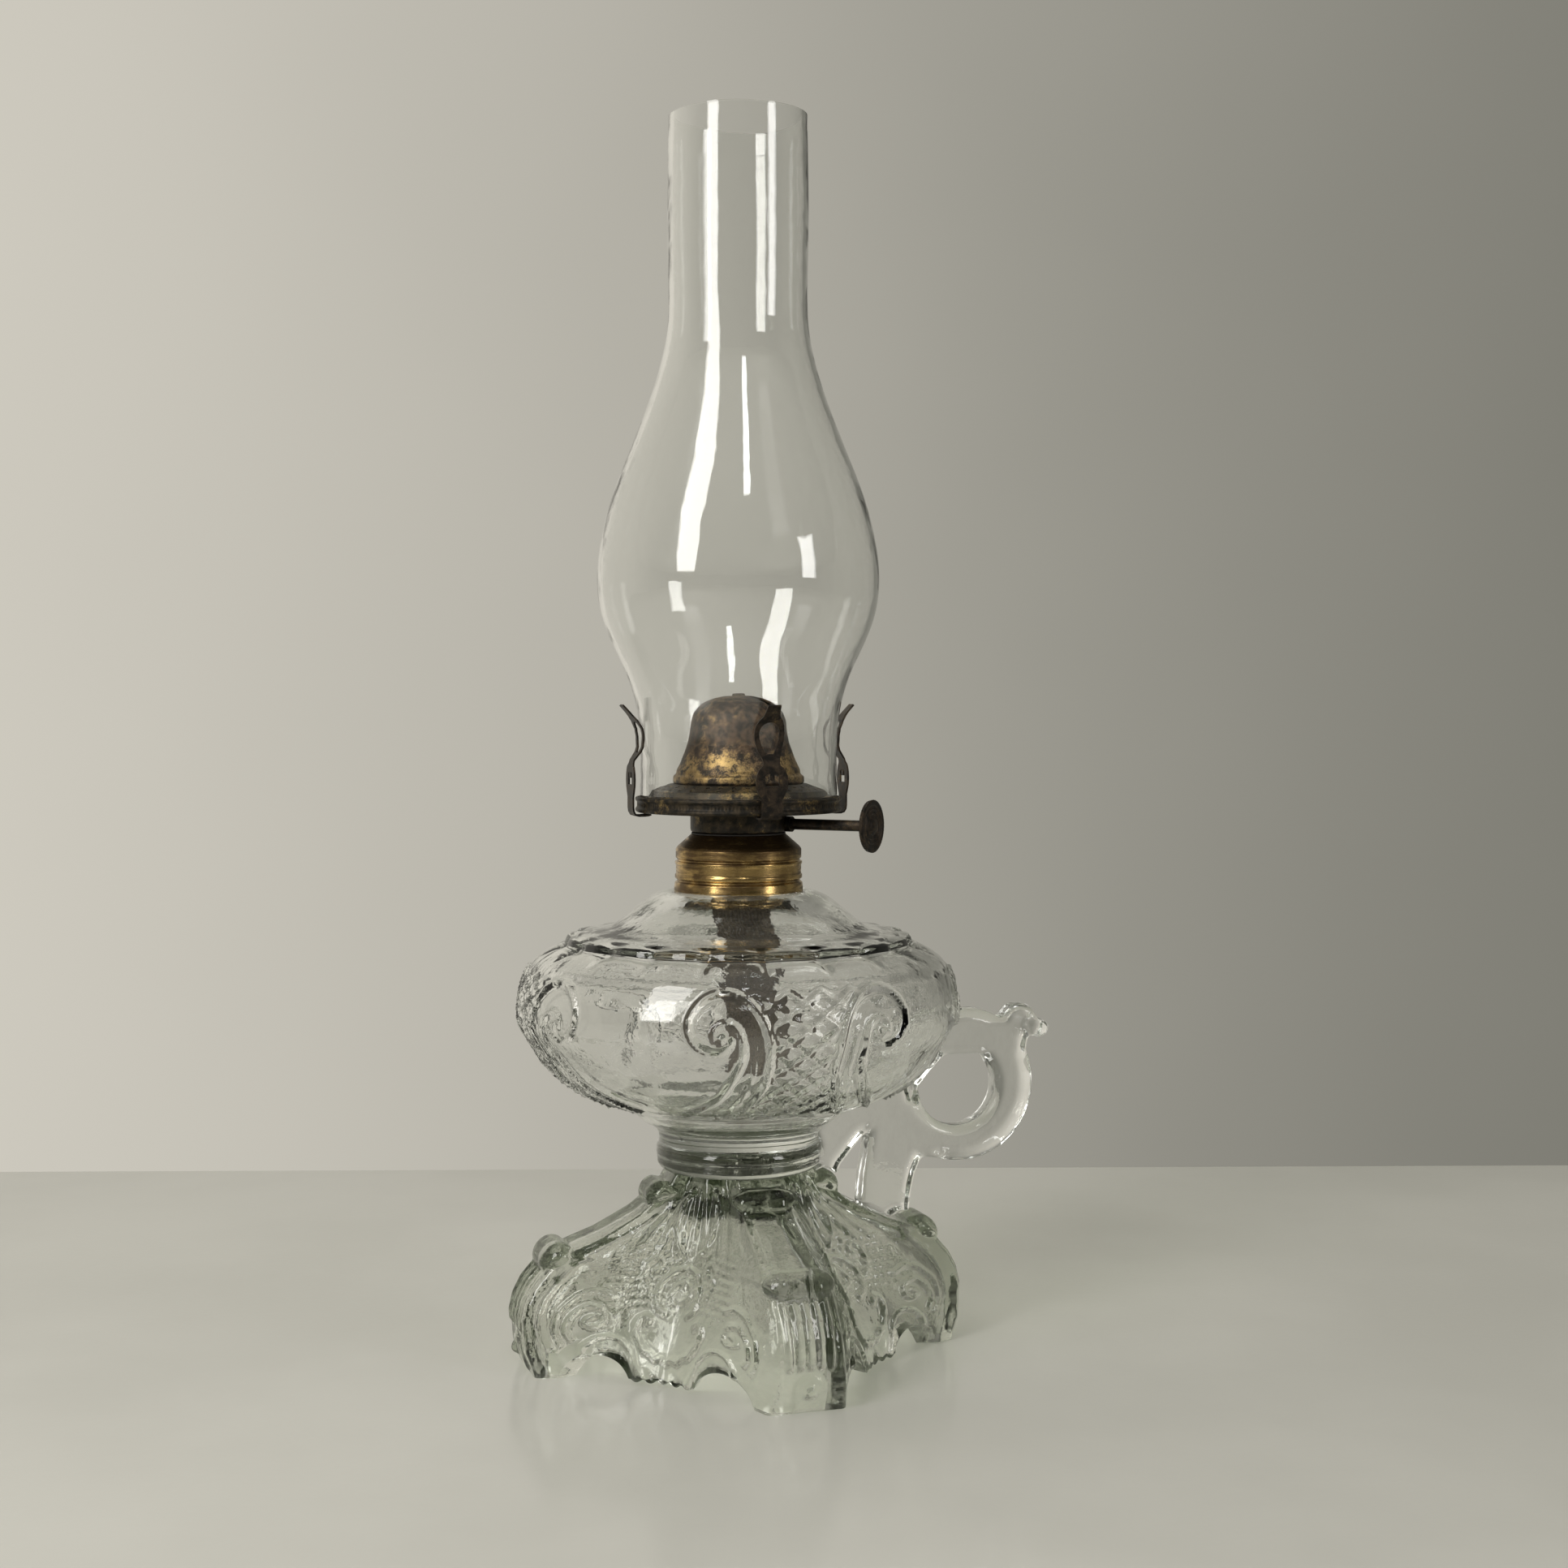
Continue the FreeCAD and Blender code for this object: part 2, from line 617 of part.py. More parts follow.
barrel_top = barrel_z + dim("barrel_height")
barrel_wall = turned("barrel_wall", [
    (thimble_r, barrel_z), (barrel_r - 1.2, barrel_z),
    (barrel_r - 0.3, barrel_z + 0.4), (barrel_r, barrel_z + 1.4),
    (barrel_r, barrel_top), (barrel_r - dim("sheet"), barrel_top),
    (barrel_r - dim("sheet"), barrel_z + 1.3), (barrel_r - 1.1, barrel_z + 0.6),
    (thimble_r, barrel_z + 0.6),
])
bushing_r = dim("grip_shaft_r") + 0.9
burner_barrel = cut("burner_barrel", barrel_wall, along_rod("bushing_hole", bushing_r, 12.0, 30.0))
shaft_bushing = cut("shaft_bushing", along_rod("bushing_blank", bushing_r, 15.6, 20.6),
                    along_rod("bushing_bore", dim("grip_shaft_r") + 0.07, 10.0, 30.0))

gallery_dish = turned("gallery_dish", [
    (barrel_r, gallery_z), (gallery_r - 1.0, gallery_z),
    (gallery_r - 0.3, gallery_z - 0.6), (gallery_r + 0.5, gallery_z - 0.2),
    (gallery_r + 0.7, gallery_z + 0.7), (gallery_r, gallery_z + 1.6),
    (gallery_r, gallery_top - 1.9), (gallery_r + 0.7, gallery_top - 1.2),
    (gallery_r + 0.6, gallery_top - 0.3), (gallery_r - 0.1, gallery_top),
    (gallery_r - 0.6, gallery_top - 0.4), (gallery_r - 0.6, gallery_z + 0.6),
    (barrel_r, gallery_z + 0.6),
])


def perforate(body, rows):
    """Rings of small round holes straight up through a body."""
    for number, (reach, radius, count) in enumerate(rows):
        sketch = new_sketch(body, "XY_Plane")
        add_circle(sketch, reach, 0, radius)
        doc.recompute()
        pocket = body.newObject("PartDesign::Pocket", body.Name + "_row%d" % number)
        pocket.Profile = sketch
        pocket.Type = "ThroughAll"
        pocket.Reversed = True
        sketch.Visibility = False
        pattern = body.newObject("PartDesign::PolarPattern", body.Name + "_ring%d" % number)
        pattern.Originals = [pocket]
        pattern.Axis = (sketch, ["N_Axis"])
        pattern.Angle = 360
        pattern.Occurrences = count
        body.Tip = pattern
    return body


def plate_corners():
    """The pierced air plate: a flat under the dome, a slope, a step and the chimney's ledge."""
    top, out = plate_top, gallery_r - 0.6
    skirt = plate_skirt_r
    brow, step = skirt + 7.0, skirt + 8.2
    upper = [(skirt - 4.5, top), (skirt, top), (brow, top - 2.4), (step, gallery_top + 0.1),
             (out, gallery_top + 0.1)]
    lower = [(out, gallery_top - 0.4), (step - 0.4, gallery_top - 0.4), (brow - 0.4, top - 2.9),
             (skirt - 0.1, top - 0.5), (skirt - 4.5, top - 0.5)]
    return upper + lower


air_plate = perforate(turned("air_plate", plate_corners()), [
    (plate_skirt_r + 2.0, Size(0.9), 36), (plate_skirt_r + 5.0, Size(0.9), 36),
])


def dome_corners():
    """The flame deflector: beaded skirt, bell side and low crown, one sheet thick."""
    r, base, t = dome_r, plate_top, dim("sheet")
    wide, rise = dome_r / 25.3, dim("dome_height") / 34.3
    outside = [(r - 0.6, base), (r, base + 0.7), (r, base + 3.2), (r - 0.7, base + 4.0)]
    outside += [(wide * reach, base + rise * level) for reach, level in (
        (24.0, 5.6), (22.7, 7.8), (21.1, 11.9), (19.8, 15.6), (19.0, 19.6), (18.4, 24.4),
        (17.5, 27.4), (15.7, 29.6), (13.1, 31.7), (9.5, 33.2), (5.7, 34.0), (0.0, 34.3))]
    inside = [(wide * reach, base + rise * level - t) for reach, level in (
        (0.0, 34.3), (5.6, 34.0), (9.4, 33.2), (12.8, 31.7), (15.3, 29.6))]
    inside += [(wide * reach, base + rise * level) for reach, level in (
        (16.9, 27.0), (17.9, 24.3), (18.5, 19.6), (19.3, 15.5), (20.6, 11.8), (22.2, 7.7), (23.5, 5.4))]
    skirt = [(r - 1.2, base + 3.8), (r - 0.5, base + 3.0), (r - 0.5, base + 0.9),
             (r - 1.1, base + 0.2), (r - 1.1, base)]
    return outside + inside + skirt


slot_half = dim("slot_width") / 2
deflector_dome = cut("deflector_dome", turned("dome_shell", dome_corners()), turned_block(
    "dome_slot", (Size(-30), Size(30)), (-slot_half, slot_half), (dome_top - 10.6, dome_top + 4)))

# ---- wick tube and spur wheels ------------------------------------------------------------------
SPUR_PLACES = (-9.2, -3.2, 3.2, 9.2)
inner_w = dim("wick_width") / 2 + dim("wick_gap")
inner_t = dim("wick_thick") / 2 + dim("wick_gap")
tube_w, tube_t = inner_w + dim("sheet"), inner_t + dim("sheet")
tube_top = dome_top - 12.0


def make_wick_tube():
    """A flat tube with a small window for each spur wheel."""
    outer = turned_block("tube_outside", (-tube_w, tube_w), (-tube_t, tube_t), (thimble_low - 1.2, tube_top))
    room = turned_block("tube_inside", (-inner_w, inner_w), (-inner_t, inner_t),
                        (thimble_low - 3, tube_top + 2))
    windows = [
        turned_block("tube_window_%d" % n, (Size(place - 0.9), Size(place + 0.9)), (Size(0.4), Size(4)),
                     (shaft_z - 3.2, shaft_z + 3.2))
        for n, place in enumerate(SPUR_PLACES)
    ]
    return cut("wick_tube", outer, joined("tube_voids", [room] + windows))


wick_tube = make_wick_tube()


def make_spur_cage():
    """The cover over the spur wheels; its two ends carry the raiser shaft."""
    far = dim("shaft_offset") + spur_r + 0.3
    low, high = barrel_z + 0.7, shaft_z + spur_r + 0.9
    outer = turned_block("cage_outside", (Size(-11.4), Size(11.4)), (tube_t, far + 0.4), (low, high))
    room = turned_block("cage_inside", (Size(-10.9), Size(10.9)), (tube_t - 1, far), (low - 1, high - 0.4))
    bearing = along_rod("cage_bearing", dim("shaft_r") + 0.07, -13.0, 13.0)
    return cut("spur_cage", outer, joined("cage_voids", [room, bearing]))


spur_cage = make_spur_cage()

raiser_shaft = joined("raiser_shaft", [
    along_rod("shaft_inner", dim("shaft_r"), -12.6, 14.4),
    along_rod("shaft_grip", dim("grip_shaft_r"), 14.2, dim("wheel_reach") - 0.5),
])


def spur_outline():
    """A twelve-pointed star."""
    corners = []
    for k in range(24):
        angle = math.pi * k / 12
        radius = spur_r if k % 2 == 0 else spur_r - 0.9
        corners.append((radius * round(math.cos(angle), 9), radius * round(math.sin(angle), 9)))
    return corners


def put_on_shaft(body, reach):
    """Stand a part on the raiser's axis, its own Z pointing along the shaft."""
    body.Placement.Rotation = FreeCAD.Rotation(V(0, 0, 1), burner_turn.multVec(V(1, 0, 0)))
    tie_turned_corner(body, reach, dim("shaft_offset"))
    drive(body, "Placement.Base.z", shaft_z)


for number, place in enumerate(SPUR_PLACES, start=1):
    spur = padded("spur_wheel_%d" % number, "XY_Plane", [spur_outline()], Size(0.8),
                  circles=[(0, 0, dim("shaft_r"))])
    put_on_shaft(spur, Size(place))

# the grip: a thin pressed disc with ring ridges, a rolled rim and a boss
rim = dim("wheel_r")
thumb_wheel = turned("thumb_wheel", [
    (0, -0.5), (Size(2.6), -0.5), (Size(3.0), -0.1), (rim - 3.6, -0.1), (rim - 3.2, -0.5), (rim, -0.5),
    (rim, Size(1.0)), (rim - 1.0, Size(1.2)), (rim - 1.6, Size(0.6)), (rim - 3.0, Size(0.6)),
    (rim - 3.4, Size(1.0)), (rim - 4.2, Size(1.0)), (rim - 4.6, Size(0.5)), (rim - 5.8, Size(0.5)),
    (Size(2.9), Size(1.5)), (Size(1.4), Size(2.0)), (0, Size(2.0)),
])
put_on_shaft(thumb_wheel, dim("wheel_reach"))

# ---- prongs -----------------------------------------------------------------------------------
# steps along a prong: distance out from prong_r, height above the gallery's floor
PRONG_PATH = [
    (-7.0, -1.0), (-6.0, -1.35), (-4.4, -1.5), (-2.2, -1.5), (-0.9, -1.1), (-0.2, 0.1), (0.0, 1.6),
    (0.0, 17.5), (-0.6, 19.6), (-2.9, 22.8), (-3.6, 24.6), (-3.7, 28.6), (-3.2, 31.5), (-1.6, 34.6),
    (1.0, 37.8), (3.6, 40.6),
]
# half widths of the stamped face against height above the gallery's floor
PRONG_FACE = [
    (4.0, -3.0), (4.0, 5.8), (5.0, 7.6), (6.0, 9.8), (6.3, 12.2), (6.0, 14.6), (5.0, 16.8), (3.4, 18.4),
    (3.1, 19.4), (3.6, 21.2), (4.7, 24.0), (5.6, 27.4), (5.85, 30.4), (5.4, 33.0), (4.4, 35.0),
    (3.2, 36.4), (2.7, 38.2), (2.4, 41.6),
]
PRONG_LOOP = [
    (1.5, 22.6), (2.9, 25.2), (3.8, 28.2), (4.0, 30.6), (3.5, 32.4), (2.4, 33.6), (0.9, 34.2),
]
PRONG_EYE = [
    (2.65, 10.4), (2.65, 14.6), (1.6, 15.2), (0.9, 15.2), (0.9, 13.2), (0.5, 12.9),
]


def strip_outline(path, thick):
    """Both sides of a bent strip, each a half thickness from its middle line."""
    sides = [[], []]
    for i, (x, z) in enumerate(path):
        before, after = path[max(i - 1, 0)], path[min(i + 1, len(path) - 1)]
        dx, dz = after[0] - before[0], after[1] - before[1]
        long = math.hypot(dx, dz)
        for side, sign in zip(sides, (1, -1)):
            shift = thick * (sign * 0.5)
            side.append((prong_r + x + shift * (-dz / long), gallery_z + z + shift * (dx / long)))
    return sides[0] + sides[1][::-1]


def mirrored(half_outline):
    """A closed outline from its right half."""
    right = [(Size(w), gallery_z + z) for w, z in half_outline]
    left = [(Size(-w), gallery_z + z) for w, z in half_outline]
    return right + left[::-1]


def make_prong(label, angle):
    """A stamped spring prong: bent strip cut to the pierced face outline."""
    wide = dim("prong_width") / 8.0
    strip = padded(label + "_strip", "XZ_Plane", [strip_outline(PRONG_PATH, dim("prong_sheet"))], Size(16.0))
    face = padded(label + "_face", "YZ_Plane", [
        [(w * wide, z) for w, z in mirrored(PRONG_FACE)],
        [(w * wide, z) for w, z in mirrored(PRONG_LOOP)],
        [(w * wide, z) for w, z in mirrored(PRONG_EYE)],
    ], prong_r * 3)
    prong = shared(label, strip, face)
    prong.Placement.Rotation = FreeCAD.Rotation(V(0, 0, 1), angle)
    return prong


for label, angle in (("prong_right", 0), ("prong_back", 90), ("prong_left", 180), ("prong_front", 270)):
    make_prong(label, angle)

# ---- wick ---------------------------------------------------------------------------------------
# steps down the wick: sideways from the tube's middle, height
wick_tip = dome_top + 1.0
wick_end = font_z + 21.5


def wick_path():
    """Straight in the tube, then a slow bend where it hangs in the bowl."""
    bend = thimble_low - 9.0
    drop = bend - wick_end
    steps = [(0.0, 0.0), (0.9, 0.08), (3.6, 0.18), (7.8, 0.30), (11.6, 0.42), (14.0, 0.54),
             (15.0, 0.68), (14.8, 0.80), (14.0, 0.92), (13.4, 1.0)]
    return [(Size(0.0), wick_tip)] + [(Size(off), bend - drop * share) for off, share in steps]


def wick_outline(path, thick):
    """Both faces of the wick, a half thickness each side of its middle line."""
    sides = [[], []]
    for i, (y, z) in enumerate(path):
        before, after = path[max(i - 1, 0)], path[min(i + 1, len(path) - 1)]
        dy, dz = after[0].value - before[0].value, after[1].value - before[1].value
        long = math.hypot(dy, dz)
        for side, sign in zip(sides, (1, -1)):
            shift = thick * (sign * 0.5)
            side.append((y + shift * (-dz / long), z + shift * (dy / long)))
    return sides[0] + sides[1][::-1]


flat_wick = padded("flat_wick", "YZ_Plane", [wick_outline(wick_path(), dim("wick_thick"))], dim("wick_width"))
flat_wick.Placement.Rotation = burner_turn

# ---- chimney ------------------------------------------------------------------------------------
# rows: height above the seat, share of the way from the fitter's radius to the bulge's
CHIMNEY_LOW = [
    (0.3, 0.0), (15.0, -0.018), (24.5, -0.012), (33.9, 0.067), (43.3, 0.207), (52.7, 0.470),
    (62.1, 0.756), (71.5, 0.945), (80.9, 1.0),
]
# rows: height above the seat, share of the way from the tube's radius to the bulge's
CHIMNEY_HIGH = [
    (87.1, 0.996), (93.4, 0.968), (106.0, 0.877), (118.5, 0.736), (131.0, 0.549), (143.6, 0.368),
    (156.0, 0.199), (165.5, 0.101), (174.9, 0.022), (184.3, -0.011), (197.0, 0.0), (228.0, 0.011),
]


def chimney_shape():
    """The chimney's wall between its outer curve and one a glass thickness inside."""
    fitter, bulge, tube = dim("fitter_r").value, dim("bulge_r").value, dim("tube_r").value
    height = dim("total_height").value - seat_z.value
    scale = height / 260.0
    outer = [(fitter + (bulge - fitter) * share, z) for z, share in CHIMNEY_LOW]
    outer += [(tube + (bulge - tube) * share, z) for z, share in CHIMNEY_HIGH]
    outer = [(r, seat_z.value + (z if z < 1 else z * scale)) for r, z in outer]
    outer.append((tube - 0.2, dim("total_height").value))
    thick = dim("glass_thick").value
    inner = [(r - thick, z) for r, z in outer]
    return blown(outer, inner)


glass_chimney = solid("glass_chimney", chimney_shape())

# ---- write --------------------------------------------------------------------------------------
doc.recompute()
NODES = [
    "glass_font", "glass_wafer", "glass_foot", "glass_handle", "collar_shell", "collar_plaster",
    "burner_seam_ring", "burner_thimble", "burner_barrel", "shaft_bushing", "gallery_dish", "air_plate",
    "deflector_dome", "wick_tube", "spur_cage", "raiser_shaft", "spur_wheel_1", "spur_wheel_2",
    "spur_wheel_3", "spur_wheel_4", "thumb_wheel", "prong_right", "prong_back", "prong_left",
    "prong_front", "flat_wick", "glass_chimney",
]
os.makedirs("parts", exist_ok=True)
for thing in doc.Objects:
    if "Invalid" in thing.State or "Error" in thing.State:
        raise RuntimeError("%s is %s" % (thing.Label, thing.State))
for name in NODES:
    thing = doc.getObjectsByLabel(name)[0]
    shape = thing.Shape
    if shape.isNull() or not shape.isValid():
        raise RuntimeError("%s has no valid shape" % name)
    box = shape.BoundBox
    print("%-18s solids %d volume %10.1f  x %7.2f %7.2f  y %7.2f %7.2f  z %7.2f %7.2f" % (
        name, len(shape.Solids), shape.Volume, box.XMin, box.XMax, box.YMin, box.YMax, box.ZMin, box.ZMax))
    shape.exportStep("parts/%s.step" % name)
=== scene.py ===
# %% [markdown]
# # A pressed-glass oil lamp
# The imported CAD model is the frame: every body, joint and size comes from it. This lesson puts the
# looks around that frame. The glass is what matters most, so it is modelled as real glass is: a
# closed skin round each wall, with the moulded pattern standing proud of it. Lengths are written in
# millimetres while a shape is worked out, and turned to metres when it becomes a mesh.

# %% Load the frame
import json
import math

import bmesh
import bpy
import numpy as np
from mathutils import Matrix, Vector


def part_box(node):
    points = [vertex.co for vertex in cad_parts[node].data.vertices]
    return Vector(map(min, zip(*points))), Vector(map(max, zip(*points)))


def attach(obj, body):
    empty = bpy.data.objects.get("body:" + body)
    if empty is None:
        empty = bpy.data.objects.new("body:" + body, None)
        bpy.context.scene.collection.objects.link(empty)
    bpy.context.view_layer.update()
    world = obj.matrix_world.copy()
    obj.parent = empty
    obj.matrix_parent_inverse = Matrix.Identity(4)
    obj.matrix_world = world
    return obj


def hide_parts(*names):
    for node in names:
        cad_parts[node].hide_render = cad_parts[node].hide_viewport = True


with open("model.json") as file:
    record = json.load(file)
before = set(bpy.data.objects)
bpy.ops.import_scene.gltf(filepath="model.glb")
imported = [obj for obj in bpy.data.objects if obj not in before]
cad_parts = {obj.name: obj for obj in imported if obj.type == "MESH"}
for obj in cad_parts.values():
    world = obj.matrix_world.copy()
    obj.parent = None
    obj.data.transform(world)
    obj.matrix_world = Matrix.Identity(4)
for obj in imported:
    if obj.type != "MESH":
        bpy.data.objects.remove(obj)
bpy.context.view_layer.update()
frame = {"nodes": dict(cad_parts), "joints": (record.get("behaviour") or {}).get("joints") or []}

MM = 0.001


def level(node, end="low"):
    """The lowest or highest height of a CAD node, in millimetres."""
    low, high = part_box(node)
    return (low if end == "low" else high).z / MM


def add_object(name, data):
    """A new object in the scene, at the origin."""
    made = bpy.data.objects.new(name, data)
    bpy.context.scene.collection.objects.link(made)
    return made


# %% [markdown]
# ## Camera, table and light
# The lamp stands on a pale glossy table. A small studio could be built round it with walls, but
# clear glass shows whatever lies behind it, so plain walls are left to the world's colour: pale
# before the camera, darker behind it, which is what draws the dark edges of the glass. A tall
# window left of the camera and a lower one to its right make the upright streaks on the chimney,
# and a ceiling strip behind the camera makes the small square glints on its shoulder.

# %% Camera
CAMERA_REACH, CAMERA_HEIGHT = 0.877, 0.255
SIGHT = np.array([0.289, 0.957])
ACROSS = np.array([0.957, -0.289])


def on_ground(ahead, right, height):
    """A point measured from the lamp's axis, along the line of sight and across it, in metres."""
    return (*(SIGHT * ahead + ACROSS * right), height)


def aim(item, target):
    """Turn a camera or light so that it looks at a point."""
    item.rotation_euler = (Vector(target) - item.location).to_track_quat("-Z", "Y").to_euler()


def make_camera():
    """A 52 mm view from a little above the burner, with the lamp just left of the middle."""
    data = bpy.data.cameras.new("camera")
    data.lens = 52.1
    camera = add_object("camera", data)
    camera.location = on_ground(-CAMERA_REACH, 0.0, CAMERA_HEIGHT)
    aim(camera, on_ground(0.0, 0.0176, CAMERA_HEIGHT - 0.0348))
    bpy.context.scene.camera = camera
    return camera


camera = make_camera()
print("camera at", [round(v, 3) for v in camera.location])

# %% Two windows and a ceiling strip
LIGHTS = {
    "window_left": ((-1.12, -1.00, 1.10), (0.52, 1.50), 19.0, (1.0, 0.985, 0.955)),
    "window_right": ((-0.90, 1.42, 0.62), (0.36, 0.66), 5.0, (1.0, 0.99, 0.97)),
    "ceiling_strip": ((-1.20, 0.20, 1.62), (0.16, 0.55), 2.6, (0.97, 0.99, 1.0)),
}


def make_light(name, place, size, power, colour):
    """A rectangular lamp that looks at the font, seen in glass and gloss but not by the camera."""
    data = bpy.data.lights.new(name, "AREA")
    data.shape = "RECTANGLE"
    data.size, data.size_y = size
    data.energy = power
    data.color = colour
    light = add_object(name, data)
    light.location = on_ground(*place)
    aim(light, (0.0, 0.0, 0.25))
    light.visible_camera = False
    return light


for name, (place, size, power, colour) in LIGHTS.items():
    make_light(name, place, size, power, colour)
bpy.context.scene.view_settings.view_transform = "Standard"
print("lights", sorted(LIGHTS))

# %% [markdown]
# ## Shader arithmetic
# A material is a small sum of patterns. Node graphs are clumsy to read as lists of links, so one
# class wraps a socket and lets it be added and multiplied like a number, and one method makes any
# other node.


# %% A socket that can be reckoned with
class Flow:
    """A value flowing between nodes; each sign adds the Math node that works it out."""

    def __init__(self, finish, socket):
        self.finish = finish
        self.socket = socket

    def math(self, operation, *others):
        """A Math node with this value first."""
        return self.finish.node("ShaderNodeMath", {"operation": operation}, dict(enumerate((self, *others))))

    def __add__(self, other):
        return self.math("ADD", other)

    __radd__ = __add__

    def __sub__(self, other):
        return self.math("SUBTRACT", other)

    def __rsub__(self, other):
        return self.finish.node("ShaderNodeMath", {"operation": "SUBTRACT"}, {0: other, 1: self})

    def __mul__(self, other):
        return self.math("MULTIPLY", other)

    __rmul__ = __mul__

    def between(self, low, high):
        """0 below low, 1 above high, and an even climb from one to the other."""
        return self.finish.node("ShaderNodeMapRange", {"interpolation_type": "SMOOTHSTEP"}, {
            "Value": self, "From Min": low, "From Max": high})


class Finish:
    """One material, or the world, and its node tree."""

    def __init__(self, name, world=None):
        self.material = world or bpy.data.materials.new(name)
        self.material.use_nodes = True
        self.tree = self.material.node_tree
        self.tree.nodes.clear()

    def node(self, kind, settings=None, values=None, out=0):
        """Any node: its settings first, then a value or a link for each named or numbered socket."""
        made = self.tree.nodes.new(kind)
        for name, value in (settings or {}).items():
            setattr(made, name, value)
        for key, value in (values or {}).items():
            socket = made.inputs[key]
            if isinstance(value, Flow):
                self.tree.links.new(value.socket, socket)
            elif socket.type == "RGBA":
                socket.default_value = (*value[:3], 1.0)
            else:
                socket.default_value = value
        return Flow(self, made.outputs[out])

    def place(self, stretch=(1.0, 1.0, 1.0)):
        """Object coordinates, squeezed or stretched along each axis."""
        here = self.node("ShaderNodeTexCoord", out="Object")
        return self.node("ShaderNodeMapping", None, {"Vector": here, "Scale": stretch})

    def noise(self, scale, detail=4.0, rough=0.55, where=None, bend=0.0):
        """Cloudy noise from 0 to 1; scale is in clouds a metre."""
        return self.node("ShaderNodeTexNoise", None, {
            "Vector": where or self.place(), "Scale": scale, "Detail": detail, "Roughness": rough,
            "Distortion": bend})

    def blend(self, share, low, high):
        """One colour turning to another as share goes from 0 to 1."""
        settings = {"data_type": "RGBA", "clamp_factor": True}
        return self.node("ShaderNodeMix", settings, {0: share, 6: low, 7: high}, out=2)

    def bump(self, height, depth, strength=1.0):
        """A bent normal; depth is the height of the bump in metres."""
        return self.node("ShaderNodeBump", None, {
            "Height": height, "Distance": depth, "Strength": strength})

    def surface(self, values):
        """The main shader, joined to the output."""
        self.output({"Surface": self.node("ShaderNodeBsdfPrincipled", None, values)})
        return self.material

    def output(self, values, kind="ShaderNodeOutputMaterial"):
        """The last node, with a shader for each of its named sockets."""
        made = self.tree.nodes.new(kind)
        for key, value in values.items():
            self.tree.links.new(value.socket, made.inputs[key])


print("shader arithmetic ready")

# %% Sky: pale ahead of the camera and overhead, dim behind it
PALE_WALL, DIM_WALL = (0.66, 0.63, 0.555), (0.185, 0.182, 0.155)
ROOM_BEHIND, CEILING = (0.022, 0.023, 0.020), (0.30, 0.29, 0.26)


def make_sky():
    """A world colour mixed from how far a direction points ahead, to the right and up."""
    sky = Finish("studio", bpy.data.worlds.new("studio"))
    bpy.context.scene.world = sky.material
    way = sky.node("ShaderNodeTexCoord", out="Generated")

    def along(axis):
        """How far the direction points along an axis, from -1 to 1."""
        return sky.node("ShaderNodeVectorMath", {"operation": "DOT_PRODUCT"}, {0: way, 1: axis}, "Value")

    ahead = along((*SIGHT, 0.0))
    right = along((*ACROSS, 0.0))
    up = along((0.0, 0.0, 1.0))
    cloud = sky.noise(3.0, 3.0, 0.5, way)
    wall = sky.blend((right + cloud * 0.12).between(-0.46, 0.56), PALE_WALL, DIM_WALL)
    room = sky.blend(ahead.between(-0.55, 0.35), ROOM_BEHIND, wall)
    colour = sky.blend(up.between(0.35, 0.95), room, CEILING)
    light = sky.node("ShaderNodeBackground", None, {"Color": colour, "Strength": 1.0})
    sky.output({"Surface": light}, "ShaderNodeOutputWorld")


make_sky()
print("sky made")

# %% [markdown]
# ## Surfaces from arrays
# Every new piece here is a sheet of points laid out in rows and columns. A lathe turns a profile,
# and its rows are joined by four-cornered faces. The profile runs anticlockwise, glass on its left,
# so that the faces look outwards.


# %% Mesh helpers
def smoothed(values, sigma, axis=0, wrap=False):
    """Each value becomes the bell-weighted mean of its neighbours; open ends stay where they are."""
    reach = int(3 * sigma + 1)
    weights = np.exp(-0.5 * (np.arange(-reach, reach + 1) / sigma) ** 2)
    weights /= weights.sum()
    data = np.moveaxis(np.asarray(values, float), axis, 0)
    first, last = data[:1], data[-1:]
    if wrap:
        padded = np.concatenate([data[-reach:], data, data[:reach]])
    else:
        before = 2 * first - data[reach:0:-1]
        after = 2 * last - data[-2:-reach - 2:-1]
        padded = np.concatenate([before, data, after])
    count = len(data)
    result = sum(w * padded[i:i + count] for i, w in enumerate(weights))
    return np.moveaxis(result, 0, axis)


def run_lengths(points):
    """Distance along a line of points, from its first one."""
    steps = np.linalg.norm(np.diff(points, axis=0), axis=1)
    return np.concatenate([[0.0], np.cumsum(steps)])


def walked(points, step, round_off=0.0):
    """A line of points resampled at even steps, its corners rounded by a bell of that width."""
    points = np.asarray(points, float)
    length = run_lengths(points)
    fine = np.linspace(0, length[-1], max(int(length[-1] / 0.15), 8) + 1)
    dense = np.stack([np.interp(fine, length, column) for column in points.T], axis=1)
    if round_off > 0:
        dense = smoothed(dense, round_off / (fine[1] - fine[0]))
    length = run_lengths(dense)
    even = np.linspace(0, length[-1], max(int(round(length[-1] / step)), 2) + 1)
    return np.stack([np.interp(even, length, column) for column in dense.T], axis=1)


def spin(profile, count, angles=None):
    """Points of a lathe: column angle turns the profile's radius, its height stays."""
    if angles is None:
        angles = np.arange(count) * 2 * np.pi / count
    r, z = profile[:, :1], profile[:, 1:]
    return np.stack([r * np.cos(angles), r * np.sin(angles), z + 0 * angles], axis=-1)


def grid_faces(rows, columns, first=0, wrap=True, close=False):
    """Four-cornered faces of a grid; wrap joins the last column to the first, close the last row."""
    i = np.arange(rows if close else rows - 1)[:, None]
    j = np.arange(columns if wrap else columns - 1)[None, :]
    up, on = (i + 1) % rows, (j + 1) % columns
    corners = np.stack([i * columns + j, i * columns + on, up * columns + on, up * columns + j], axis=-1)
    return corners.reshape(-1, 4) + first


